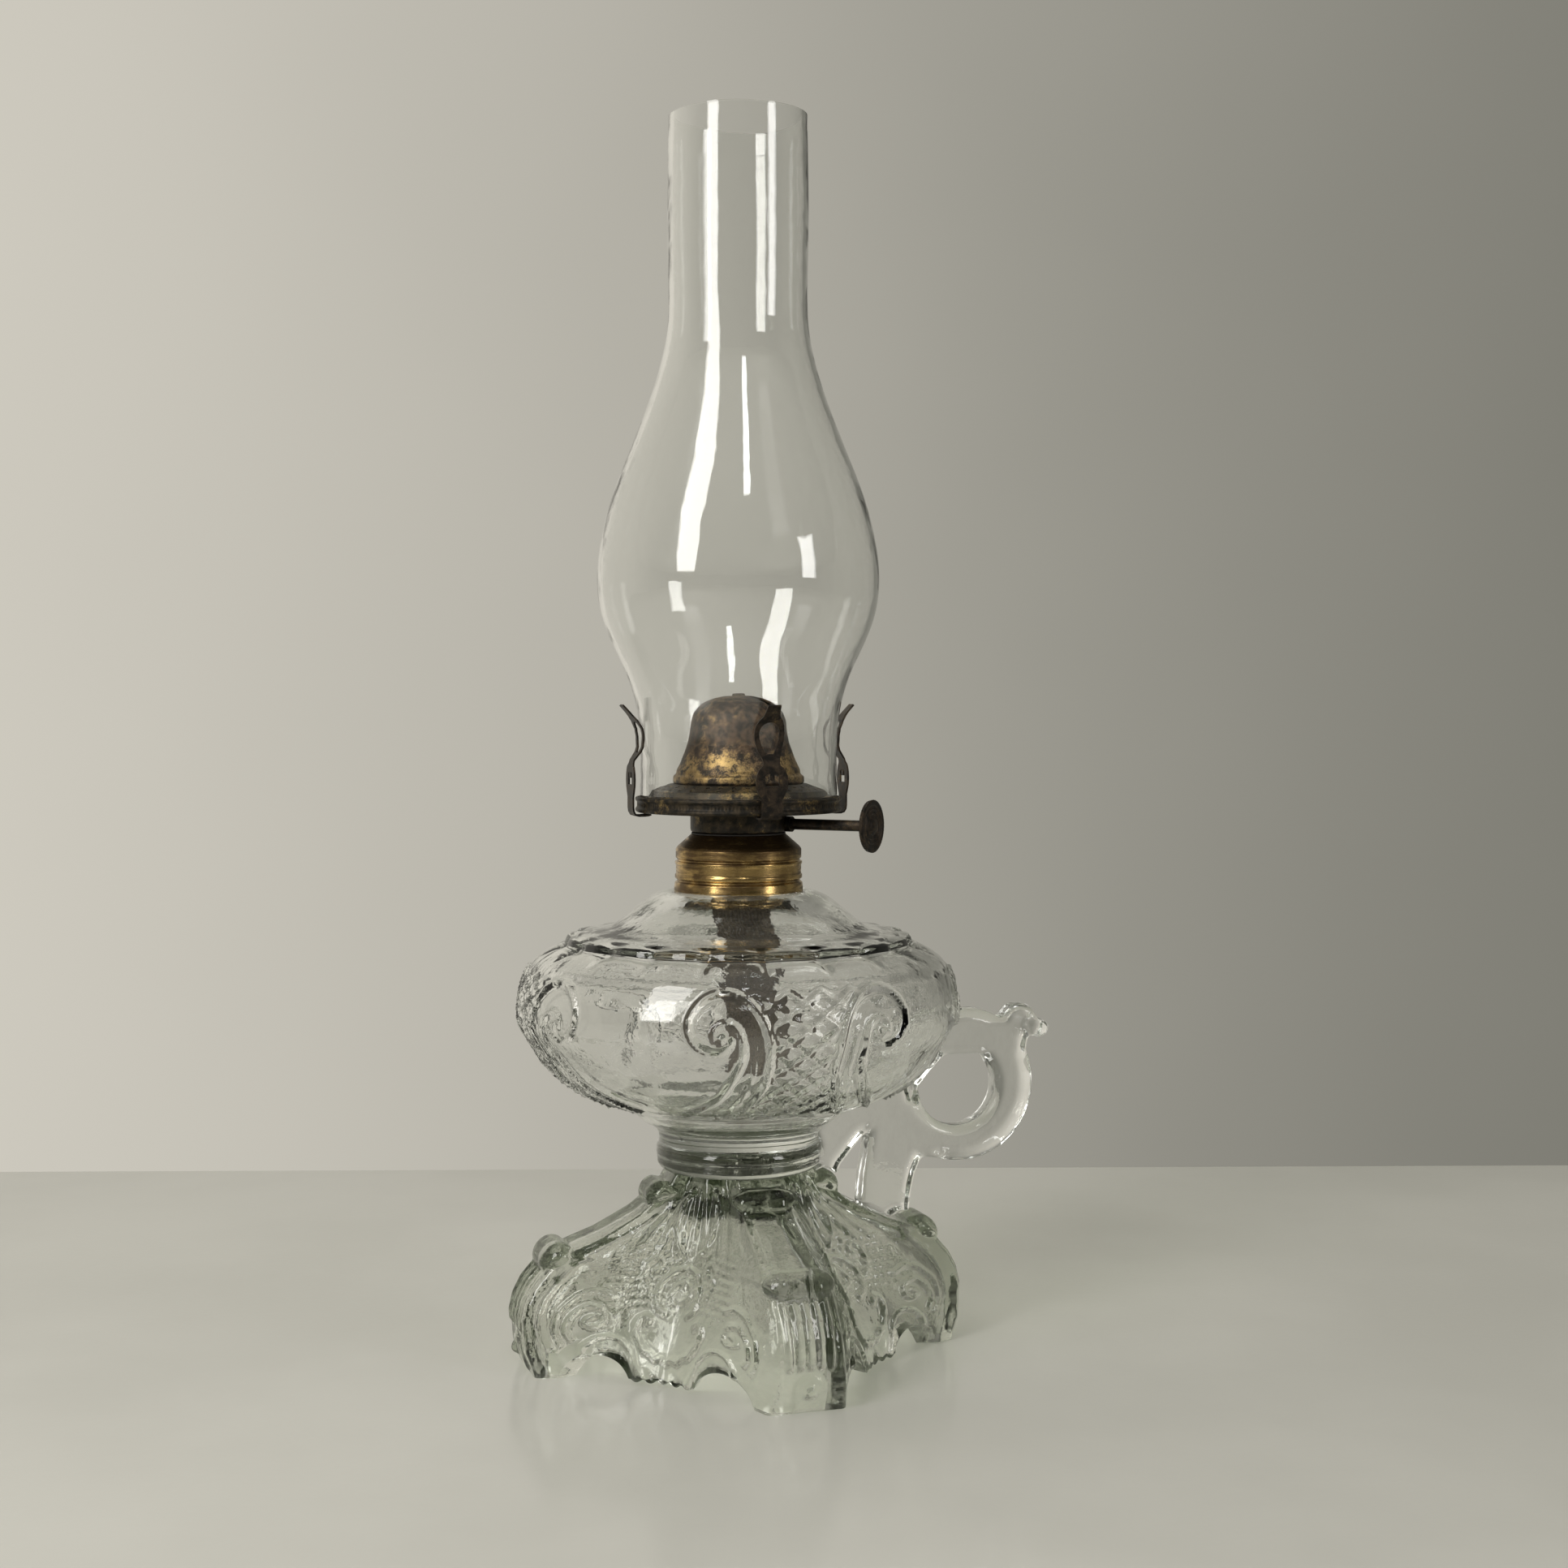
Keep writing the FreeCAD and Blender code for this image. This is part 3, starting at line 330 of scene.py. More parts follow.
def fan_faces(ring, pole, outward=True):
    """Triangles from a ring of point numbers to one pole."""
    following = np.roll(ring, -1)
    faces = np.stack([np.full_like(ring, pole), following, ring], axis=1)
    return faces if outward else faces[:, ::-1]


def end_fans(rows, columns):
    """Both ends of a grid closed to two poles, numbered straight after its points."""
    ring = np.arange(columns)
    return np.concatenate([
        fan_faces(ring, rows * columns),
        fan_faces((rows - 1) * columns + ring, rows * columns + 1, False),
    ])


def bridge_faces(fine, coarse):
    """Triangles between a ring of points and one with a quarter as many, going inwards."""
    a, b, c, d = (fine[k::4] for k in range(4))
    e = np.roll(a, -1)
    near, far = coarse, np.roll(coarse, -1)
    sets = [(a, b, near), (b, c, near), (near, c, far), (c, d, far), (d, e, far)]
    return np.concatenate([np.stack(s, axis=1) for s in sets])


def settle(piece, body, nodes, slot):
    """Let a piece ride on a body and stand for its CAD nodes; the slot argument is not used."""
    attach(piece, body)
    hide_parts(*nodes)
    triangles = sum(len(p.vertices) - 2 for p in piece.data.polygons)
    print(piece.name, len(piece.data.vertices), "points", triangles, "triangles")
    return piece


def new_piece(name, points, face_sets, body, nodes, slot, finish, smooth_below=40.0, joints=0):
    """A mesh from points in millimetres, riding on a body in place of its CAD nodes.

    The last so many faces, given by joints, are melted into a neighbour."""
    mesh = bpy.data.meshes.new(name)
    points = np.asarray(points, float).reshape(-1, 3) * MM
    corners = np.concatenate([f.ravel() for f in face_sets]).astype(np.int32)
    sizes = np.concatenate([np.full(len(f), f.shape[1]) for f in face_sets])
    starts = np.concatenate([[0], np.cumsum(sizes)[:-1]]).astype(np.int32)
    mesh.vertices.add(len(points))
    mesh.vertices.foreach_set("co", points.ravel())
    mesh.loops.add(len(corners))
    mesh.loops.foreach_set("vertex_index", corners)
    mesh.polygons.add(len(sizes))
    mesh.polygons.foreach_set("loop_start", starts)
    mesh.polygons.foreach_set("use_smooth", np.ones(len(sizes), bool))
    if joints:
        mesh.polygons.foreach_set("material_index", (np.arange(len(sizes)) >= len(sizes) - joints) * 1)
    mesh.update(calc_edges=True)
    mesh.validate()
    mesh.set_sharp_from_angle(angle=math.radians(smooth_below))
    mesh.materials.append(finish)
    if joints:
        mesh.materials.append(fused_joint)
    return settle(add_object(name, mesh), body, nodes, slot)


def lathe_piece(name, profile, body, nodes, slot, finish, count=160, smooth_below=40.0):
    """A closed ring-shaped lathe: its profile is a closed loop, anticlockwise, away from the axis."""
    points = spin(profile, count)
    faces = grid_faces(len(profile), count, close=True)
    return new_piece(name, points, [faces], body, nodes, slot, finish, smooth_below)


FINE_STEP = 0.1


def closed_loop(corners, step, round_off):
    """A closed profile, its corners rounded, sampled at even steps without repeating its start."""
    corners = np.asarray(corners, float)
    loop = np.concatenate([corners, corners[:1]])
    length = run_lengths(loop)
    count = int(length[-1] / FINE_STEP)
    fine = np.arange(count) * length[-1] / count
    dense = np.stack([np.interp(fine, length, column) for column in loop.T], axis=1)
    dense = smoothed(dense, round_off / FINE_STEP, wrap=True)
    every = max(int(round(step / FINE_STEP)), 1)
    return dense[::every]


def normals_of(points):
    """Outward unit normals of a wrapped grid, from its differences along rows and columns."""
    across = np.roll(points, -1, axis=1) - np.roll(points, 1, axis=1)
    along = np.gradient(points, axis=0)
    normal = np.cross(across, along)
    return normal / np.maximum(np.linalg.norm(normal, axis=-1, keepdims=True), 1e-9)


def flowing(points, count=160):
    """A smooth line through given points: straight joins rounded by a bell."""
    line = walked(points, 0.2)
    return smoothed(line, len(line) / 40.0)[np.linspace(0, len(line) - 1, count).astype(int)]


def near_line(points, line, widths):
    """For each point, its distance to a line as a share of the line's half width there."""
    flat = points.reshape(-1, 3)
    best = np.full(len(flat), 9.0)
    for part in np.array_split(np.arange(len(flat)), max(len(flat) // 4000, 1)):
        gap = np.linalg.norm(flat[part, None, :] - line[None, :, :], axis=-1) / widths[None, :]
        best[part] = gap.min(axis=1)
    return best.reshape(points.shape[:-1])


def ridge(share):
    """A rounded ridge: a half wave of height 1 at the line that falls to 0 at its edge."""
    return np.where(share < 1, 0.5 + 0.5 * np.cos(np.pi * np.clip(share, 0, 1)), 0.0)


print("surface helpers ready")

# %% [markdown]
# ## Glass
# Pressed glass is thick, faintly green, and a little wavy where the mould chilled it. The shader is
# plain glass with a shallow bump. Light from the lamps would reach the wick and burner only by
# chance through refracting walls, so the glass lets shadow rays pass, a shade dimmer, which is close
# to how thin walls behave. The glass also soaks up a little red and blue along the ray's path: the
# thick foot most of all, the solid joining ring less for each millimetre, because it is so deep.
# Font, ring and foot were melted together, so the flat faces between them bend no light: they get a
# finish that lets everything through.


# %% Glass finishes
def make_glass(name, tint, ripple, ripple_depth, passing, soaked=None, density=0.0):
    """Clear glass with shallow ripples; passing is the shade that lamp light takes through it."""
    glass = Finish(name)
    waves = glass.noise(ripple, 2.0, 0.4)
    grain = glass.noise(ripple * 7.0, 2.0, 0.5)
    normal = glass.bump(waves + grain * 0.12, ripple_depth)
    shader = glass.node("ShaderNodeBsdfPrincipled", None, {
        "Base Color": tint, "Transmission Weight": 1.0, "IOR": 1.52,
        "Roughness": grain.between(0.35, 0.9) * 0.05, "Normal": normal})
    clear = glass.node("ShaderNodeBsdfTransparent", None, {"Color": passing})
    lamp_ray = glass.node("ShaderNodeLightPath", out="Is Shadow Ray")
    mixed = glass.node("ShaderNodeMixShader", None, {0: lamp_ray, 1: shader, 2: clear})
    ends = {"Surface": mixed}
    if soaked is not None:
        ends["Volume"] = glass.node("ShaderNodeVolumeAbsorption", None, {"Color": soaked, "Density": density})
    glass.output(ends)
    return glass.material


font_glass = make_glass("font_glass", (0.98, 0.983, 0.972), 45.0, 0.0005, (0.86, 0.875, 0.85),
                        (0.60, 0.66, 0.56), 6.0)
foot_glass = make_glass("foot_glass", (0.945, 0.948, 0.925), 70.0, 0.0010, (0.72, 0.738, 0.70),
                        (0.43, 0.485, 0.37), 27.0)
ring_glass = make_glass("ring_glass", (0.965, 0.97, 0.95), 60.0, 0.0006, (0.76, 0.78, 0.74),
                        (0.50, 0.56, 0.44), 8.0)
chimney_glass = make_glass("chimney_glass", (0.995, 1.0, 0.99), 9.0, 0.0012, (0.94, 0.95, 0.94))
fused = Finish("fused_joint")
fused.output({"Surface": fused.node("ShaderNodeBsdfTransparent", None, {"Color": (1.0, 1.0, 1.0)})})
fused_joint = fused.material
print("glass finishes made")

# %% [markdown]
# ## The font
# The font is the oil bowl, pressed in a four-part mould: quilted panels between pairs of C-scrolls,
# clear windows, and a scalloped ledge. A texture would look flat against the light, so the pattern
# is real relief. The bowl is a lathe whose skin is pushed out along its normals. One half panel is
# described, from the quilt's middle at 0 degrees to the window's middle at 45, and mirrored round.

# %% Font profile
FONT_OUTSIDE = [
    (31.3, 81.5), (30.8, 84.0), (32.0, 87.6), (34.0, 89.2), (38.0, 91.2), (43.0, 95.6),
    (43.6, 96.4), (50.5, 98.2), (57.5, 100.8), (63.3, 104.0), (69.7, 108.6), (75.0, 113.8),
    (79.5, 121.6), (82.3, 126.0), (84.2, 129.5), (84.8, 134.0), (84.0, 140.4), (82.5, 146.7),
    (79.2, 152.6), (75.5, 155.4), (70.5, 158.2), (67.2, 158.6), (66.5, 162.5), (64.0, 162.7),
    (55.5, 163.6), (49.0, 165.5), (43.0, 170.0), (39.2, 173.4), (34.5, 177.0), (29.5, 179.0),
    (21.5, 179.2), (21.5, 194.5),
]
FONT_INSIDE = [
    (19.0, 194.5), (19.0, 175.2), (26.0, 173.6), (31.0, 171.2), (36.0, 167.8), (41.0, 163.8),
    (47.0, 160.2), (55.0, 158.6), (62.0, 157.8), (66.0, 154.4), (71.0, 151.6), (75.0, 149.2),
    (78.2, 144.8), (79.7, 139.8), (80.3, 134.2), (79.6, 130.4), (77.6, 127.2), (74.8, 123.4),
    (70.6, 116.6), (66.0, 112.0), (60.4, 108.0), (54.4, 104.8), (46.6, 102.2), (39.4, 99.8),
    (36.0, 96.6), (33.0, 93.4), (26.0, 92.0), (12.0, 92.0),
]
FONT_COLUMNS, HALF_PANELS = 480, 8
QUILT_WIDE, QUILT_TALL, QUILT_MIDDLE = 12.4, 9.6, 135.0

# %% Scroll lines, as (degrees from the quilt's middle, height)
OUTER_SCROLL = [
    (20.0, 101.0), (15.0, 105.0), (11.0, 112.0), (8.8, 120.0), (8.6, 130.0), (10.4, 140.0),
    (14.3, 147.5), (20.0, 150.4), (25.5, 148.0), (28.8, 142.0), (29.2, 136.0), (26.8, 130.3),
    (22.6, 127.8), (19.2, 130.0), (18.3, 133.5),
]
INNER_SCROLL = [
    (37.0, 101.5), (30.0, 104.5), (22.5, 110.0), (18.0, 118.5), (15.6, 126.0), (15.6, 133.0),
    (17.6, 138.6), (20.8, 139.4), (23.2, 136.6), (22.6, 133.0),
]
OUTER_SWEEP = [(26.0, 99.4), (20.0, 103.6), (15.6, 111.0), (13.0, 120.0), (12.6, 129.0), (14.0, 136.0)]
BEAD = (20.9, 133.6)


def panel_angles(count):
    """Column angles of one half panel, close together over the pattern and wide in the window."""
    share = np.arange(count) / count
    return np.interp(share, [0.0, 0.84, 1.0], [0.0, 34.5, 45.0])


def column_angles():
    """All column angles round the font, in degrees, the half panels mirrored in turn."""
    half = panel_angles(FONT_COLUMNS // HALF_PANELS)
    back = 90.0 - np.append(half[1:], 45.0)[::-1]
    quarter = np.concatenate([half, back])
    return np.concatenate([quarter + 90.0 * k for k in range(4)])


def folded(angles):
    """An angle brought back to the half panel: its distance from the nearest quilt's middle."""
    return np.abs((angles + 45.0) % 90.0 - 45.0)


def on_font(profile, line):
    """Points of (degrees, height) on the bowl's widest skin, as places in space."""
    line = np.asarray(line, float)
    belly = profile[(profile[:, 1] > 95.5) & (profile[:, 1] < 158.0)]
    r = np.interp(line[:, 1], belly[:, 1], belly[:, 0])
    angle = np.radians(line[:, 0])
    return np.stack([r * np.cos(angle), r * np.sin(angle), line[:, 1]], axis=1)


def font_relief(profile, angles, inside_quilt):
    """Height of the pattern over one wedge: scroll ridges, a bead, and the quilt between stems."""
    wedge = spin(profile, 0, np.radians(angles))
    height = np.zeros(wedge.shape[:2])
    for line, wide, tall in ((OUTER_SCROLL, 1.75, 1.55), (INNER_SCROLL, 1.6, 1.4), (OUTER_SWEEP, 1.0, 0.6)):
        path = on_font(profile, flowing(line))
        taper = wide * np.interp(np.arange(len(path)), [0, 25, 120, 159], [0.45, 1.0, 1.0, 0.7])
        height = np.maximum(height, tall * ridge(near_line(wedge, path, taper)))
    bead = on_font(profile, [BEAD])
    height = np.maximum(height, 1.9 * ridge(near_line(wedge, bead, np.array([2.6]))))
    z = profile[:, 1][:, None]
    across = np.radians(angles)[None, :] * 84.5
    drawn, stretched = [95.0, 108.6, 121.6, 152.6, 158.0], [81.0, 103.0, 119.0, 152.6, 160.0]
    along = np.interp(z, drawn, stretched) - QUILT_MIDDLE
    scale = 1 / math.hypot(1 / QUILT_WIDE, 1 / QUILT_TALL)
    lines = [np.abs((across / QUILT_WIDE + sign * along / QUILT_TALL + 0.5) % 1 - 0.5) * scale
             for sign in (1, -1)]
    quilt = np.maximum(*(ridge(gap / 1.45) for gap in lines))
    stars = ridge(np.hypot(*lines) / 2.3)
    height = np.maximum(height, inside_quilt * (0.9 * quilt + 0.5 * stars))
    return height


# %% Build the font
def quilt_mask(profile, angles):
    """1 between the two outer stems and below the ledge, fading to 0 at their edges."""
    stem = np.asarray(OUTER_SCROLL[:8])
    z = profile[:, 1]
    edge = np.interp(z, stem[:, 1], stem[:, 0])[:, None] - 0.6
    side = np.clip((edge - angles[None, :]) / 1.2, 0, 1)
    upright = np.clip((z - 100.5) / 3.0, 0, 1) * np.clip((150.5 - z) / 2.0, 0, 1)
    return side * upright[:, None]


def ledge_relief(profile, angles):
    """Twenty scalloped tabs round the ledge: the skin is drawn in between them."""
    z = profile[:, 1]
    band = np.exp(-((z - 160.6) / 2.4) ** 2) * (profile[:, 0] > 60)
    tabs = np.clip(1.4 * np.abs(np.cos(np.radians(angles * 10.0))) - 0.25, 0, 1)
    ribs = np.exp(-((z - 156.8) / 1.6) ** 2) * (profile[:, 0] > 60)
    groove = np.clip(1 - np.abs(np.sin(np.radians(angles * 10.0 + 90.0))) * 3.2, 0, 1)
    return (band[:, None] * (tabs - 1.0) * 1.9) - ribs[:, None] * groove * 0.7


def make_font():
    """Outer skin with relief, plain inner skin, joined by a flat ring at the neck's top."""
    outer = walked(FONT_OUTSIDE, 1.2, 1.15)
    inner = walked(FONT_INSIDE, 1.8, 2.6)
    angles = column_angles()
    skin = spin(outer, 0, np.radians(angles))
    belly = (outer[:, 1] > 95.5) & (outer[:, 1] < 158.0) & (outer[:, 0] > 40)
    wedge_angles = np.append(panel_angles(FONT_COLUMNS // HALF_PANELS), 45.0)
    wedge = np.zeros((len(outer), len(wedge_angles)))
    part = outer[belly]
    wedge[belly] = font_relief(part, wedge_angles, quilt_mask(part, wedge_angles))
    turned = folded(angles)
    numbers = np.rint(np.interp(turned, wedge_angles, np.arange(len(wedge_angles)))).astype(int)
    height = wedge[:, numbers] + ledge_relief(outer, angles)
    skin = skin + normals_of(skin) * height[..., None]
    lining = spin(inner, 0, np.radians(angles[::4]))
    rows, columns = skin.shape[:2]
    first = rows * columns
    quarter = columns // 4
    floor_pole = first + lining.shape[0] * quarter
    points = np.concatenate([skin.reshape(-1, 3), lining.reshape(-1, 3),
                             [[0, 0, inner[-1, 1]], [0, 0, outer[0, 1]]]])
    faces = [
        grid_faces(rows, columns),
        grid_faces(lining.shape[0], quarter, first),
    ]
    triangles = np.concatenate([
        bridge_faces((rows - 1) * columns + np.arange(columns), first + np.arange(quarter)),
        fan_faces(first + (lining.shape[0] - 1) * quarter + np.arange(quarter), floor_pole, False),
    ])
    joint = fan_faces(np.arange(columns), floor_pole + 1)
    return new_piece("font_bowl", points, faces + [triangles, joint], "lamp_body", ["glass_font"],
                     "font_glass", font_glass, 70.0, len(joint))


font_bowl = make_font()

# %% [markdown]
# ## The joining ring and the chimney
# Both are round. The ring between foot and font is a plain bead of glass. The chimney is blown, so
# its wall is thin and even, and its cut rim is never quite level.


# %% Joining ring
RING_COLUMNS = 160


def make_wafer():
    """A solid bead: its profile runs from the axis out, up and back, closed by two poles."""
    low, high = level("glass_wafer"), level("glass_wafer", "high")
    line = walked([(27.0, low), (30.2, low + 0.2), (31.7, low + 2.0), (31.9, low + 5.2), (32.2, high - 3.2),
                   (31.9, high - 1.0), (31.3, high)], 0.7, 0.5)
    ring = spin(line, RING_COLUMNS)
    rows = len(line)
    points = np.concatenate([ring.reshape(-1, 3), [[0, 0, low], [0, 0, high]]])
    joints = end_fans(rows, RING_COLUMNS)
    return new_piece("joining_ring", points, [grid_faces(rows, RING_COLUMNS), joints], "lamp_body",
                     ["glass_wafer"], "foot_glass", ring_glass, 40.0, len(joints))


joining_ring = make_wafer()

# %% Chimney
CHIMNEY_OUTSIDE = [
    (38.1, 216.3), (37.8, 231.0), (37.9, 240.5), (39.2, 249.9), (41.5, 259.3), (45.8, 268.7),
    (50.5, 278.1), (53.6, 287.5), (54.5, 296.9), (54.4, 303.1), (53.6, 309.4), (51.1, 322.0),
    (47.2, 334.5), (42.0, 347.0), (37.0, 359.6), (32.3, 372.0), (29.6, 381.5), (27.4, 390.9),
    (26.5, 400.3), (26.8, 413.0), (27.1, 444.0), (26.6, 476.0),
]
CHIMNEY_COLUMNS, CHIMNEY_WALL = 256, 1.85


def make_chimney():
    """An outer and an inner skin a glass thickness apart, with a rolled foot and an uneven rim."""
    outside = walked(CHIMNEY_OUTSIDE, 1.6, 5.0)
    slope = np.gradient(outside, axis=0)
    slope /= np.linalg.norm(slope, axis=1, keepdims=True)
    inside = outside + np.stack([-slope[:, 1], slope[:, 0]], axis=1) * CHIMNEY_WALL
    inside[:, 1] = np.clip(inside[:, 1], outside[0, 1], outside[-1, 1])
    inside[0, 1], inside[-1, 1] = outside[0, 1], outside[-1, 1]
    loop = np.concatenate([outside, inside[::-1]])
    grid = spin(loop, CHIMNEY_COLUMNS)
    angle = np.arctan2(grid[..., 1], grid[..., 0])
    near_top = np.clip((grid[..., 2] - 452.0) / 24.0, 0, 1) ** 2
    sway = 0.45 * np.sin(angle * 2 + 0.6) + 0.3 * np.sin(angle * 3 - 1.1) + 0.75
    grid[..., 2] -= near_top * sway
    return new_piece("chimney_glass", grid, [grid_faces(len(loop), CHIMNEY_COLUMNS, close=True)], "chimney",
                     ["glass_chimney"], "chimney_glass", chimney_glass, 50.0)


chimney = make_chimney()

# %% [markdown]
# ## The foot
# The square foot was pressed too: four legs with fluted fronts, hollow faces with rocaille scrolls,
# a shell apron and small arches, all hollow beneath. It is a radius for every angle and height, like
# a planet's terrain: first the plain star-shaped body, then the rolls, flutes and scrolls, pushed
# out along the normals.

# %% Foot body
# rows: height, corner radius, radius at the middle of a face, half width of the leg
FOOT_ROWS = np.array([
    (0.0, 84.0, 58.5, 15.0), (2.6, 84.6, 58.2, 15.0), (8.7, 87.0, 56.0, 14.4),
    (21.0, 88.0, 49.8, 13.0), (27.0, 86.6, 46.2, 12.6), (33.0, 83.5, 42.2, 12.2),
    (38.6, 78.5, 38.6, 12.0), (43.5, 73.0, 35.6, 11.8), (46.5, 66.0, 34.0, 11.2),
    (50.0, 56.5, 32.2, 10.6), (53.5, 49.5, 31.0, 10.2), (57.5, 42.0, 29.6, 9.8),
    (62.5, 35.5, 28.4, 9.4), (67.0, 30.5, 27.8, 9.0), (72.0, 27.5, 26.2, 8.6),
])
FOOT_HIGH = 72.0
FOOT_COLUMNS = 576
FOOT_WALL = 5.5
ROW_STEP = 0.8


def star_radius(angle, corner, middle, half):
    """Distance from the axis to a leg's end, its side or the hollow face, along a folded angle."""
    diag = middle * math.sqrt(0.5)
    knots = [(corner, 0 * corner), (corner, half), (np.maximum(corner - 9, diag + 3.5), half + 2.2),
             (diag, diag)]
    radius = np.full(np.broadcast(angle, corner).shape, 1e9)
    turn = [np.arctan2(y, x) for x, y in knots]
    c, s = np.cos(angle), np.sin(angle)
    for k in range(3):
        (x0, y0), (x1, y1) = knots[k], knots[k + 1]
        dx, dy = x1 - x0, y1 - y0
        reach = (x0 * dy - y0 * dx) / (c * dy - s * dx + 1e-12)
        here = (angle >= turn[k] - 1e-9) & (angle <= turn[k + 1] + 1e-9)
        radius = np.where(here, reach, radius)
    return radius


def foot_angles():
    """Column angles of the foot, closest together over the legs' edges."""
    share = np.arange(FOOT_COLUMNS // 8) / (FOOT_COLUMNS // 8)
    half = np.interp(share, [0.0, 0.22, 0.50, 1.0], [0.0, 6.5, 16.0, 45.0])
    quarter = np.concatenate([half, 90.0 - np.append(half[1:], 45.0)[::-1]])
    return np.radians(np.concatenate([quarter + 90.0 * k for k in range(4)]))


def leg_fold(angle):
    """Signed angle from the nearest leg, and its size."""
    signed = (angle + np.pi / 4) % (np.pi / 2) - np.pi / 4
    return signed, np.abs(signed)


def foot_edge(side):
    """The bottom edge's height: an arch each side of the apron, and the apron's shell lobes."""
    arch = np.sqrt(np.clip(144.0 - (np.abs(side) - 24.5) ** 2, 0, None)) - 2.0
    lobes = 1.2 + 1.6 * (1 - np.abs(np.cos(side * np.pi / 5.2)))
    return np.where(np.abs(side) < 13.0, lobes, np.maximum(arch, 0.0))


def foot_skin(rows, angle, inset=0.0):
    """Radius for rows of (height, corner, middle, half width) at each angle."""
    size = leg_fold(angle)[1]
    corner, middle, half = (rows[:, k][:, None] for k in (1, 2, 3))
    return star_radius(size[None, :], corner - inset, middle - 0.8 * inset, half - 0.75 * inset)


def foot_rows(step):
    """The foot's rows resampled at even steps along the leg's outline."""
    length = run_lengths(FOOT_ROWS[:, [1, 0]])
    even = np.linspace(0, length[-1], int(length[-1] / step) + 1)
    rows = np.stack([np.interp(even, length, column) for column in FOOT_ROWS.T], axis=1)
    return smoothed(rows, 1.6)


def make_foot_body():
    """The plain outer skin: rows of points from the shaped bottom edge up to the neck."""
    rows = foot_rows(ROW_STEP)
    angle = foot_angles()
    size = leg_fold(angle)[1]
    away = np.pi / 4 - size
    edge = foot_edge(58.0 * np.tan(away) * np.where(away < 0.62, 1.0, 1.5))
    settle = np.clip(1 - rows[:, 0] / 22.0, 0, 1)[:, None]
    z = rows[:, :1] + edge[None, :] * settle
    across = [np.interp(z, FOOT_ROWS[:, 0], FOOT_ROWS[:, k]) for k in (1, 2, 3)]
    radius = star_radius(size[None, :] + 0 * z, *across)
    radius = smoothed(radius, 1.8, axis=1, wrap=True)
    return np.stack([radius * np.cos(angle), radius * np.sin(angle), z], axis=-1)


# %% Foot ornament, as (distance from the middle of a face, height up the face)
SHELL_CRESCENT = [
    (0.0, 9.5), (5.0, 10.2), (10.0, 13.2), (14.0, 19.0), (14.6, 24.5), (12.0, 27.0), (10.2, 24.6),
]
MEDALLION = [(0.0, 45.5), (5.0, 44.2), (9.0, 40.4), (10.0, 35.0), (8.2, 29.8), (5.0, 27.6)]
MEDALLION_EYE = [(0.0, 40.0), (3.0, 38.8), (4.4, 36.0), (3.0, 33.2), (0.0, 32.0)]
ARCH_MOULD = [(12.4, 3.5), (15.0, 9.4), (20.0, 13.4), (25.0, 14.4), (30.5, 12.4), (35.0, 7.6), (37.4, 2.6)]
SIDE_CURL = [
    (39.5, 13.0), (41.5, 19.0), (40.0, 26.0), (34.5, 30.5), (28.6, 29.0), (26.8, 24.0), (29.5, 20.0),
    (33.6, 21.6), (33.6, 25.2), (31.0, 25.8),
]
SIDE_LEAF = [(43.5, 12.0), (45.6, 20.0), (44.4, 28.5), (39.0, 35.0), (32.0, 36.6), (26.0, 34.0)]
UPPER_SCROLL = [
    (13.0, 35.0), (16.5, 41.0), (17.0, 47.0), (13.6, 50.0), (10.6, 47.4), (12.4, 44.6),
]
NECK_PLUME = [(3.0, 49.0), (7.0, 54.0), (8.6, 61.0), (8.0, 69.0), (5.0, 74.0)]
FACE_LINES = (
    (SHELL_CRESCENT, 2.1, 1.7), (MEDALLION, 1.7, 1.5), (MEDALLION_EYE, 1.4, 1.3), (ARCH_MOULD, 1.9, 1.4),
    (SIDE_CURL, 1.6, 1.5), (SIDE_LEAF, 1.5, 1.3), (UPPER_SCROLL, 1.5, 1.3), (NECK_PLUME, 1.6, 1.2),
)


def face_places(skin):
    """Distance along each row from the middle of its face, and distance up each column, as a map."""
    quarter = FOOT_COLUMNS // 4
    face = skin[:, :quarter + 1]
    steps = np.linalg.norm(np.diff(face, axis=1), axis=-1)
    along = np.concatenate([np.zeros((len(skin), 1)), np.cumsum(steps, axis=1)], axis=1)
    along -= along[:, quarter // 2: quarter // 2 + 1]
    rise = np.linalg.norm(np.diff(skin[:, quarter // 2], axis=0), axis=-1)
    up = np.concatenate([[0.0], np.cumsum(rise)]) + 1.5
    return np.abs(along), np.repeat(up[:, None], along.shape[1], axis=1)


def grains(across, up, spacing):
    """Small rounded grains in offset rows, one bump per cell."""
    row = np.floor(up / spacing)
    x = (across / spacing + 0.5 * (row % 2)) % 1.0 - 0.5
    y = (up / spacing) % 1.0 - 0.5
    return ridge(np.hypot(x, y) / 0.46)


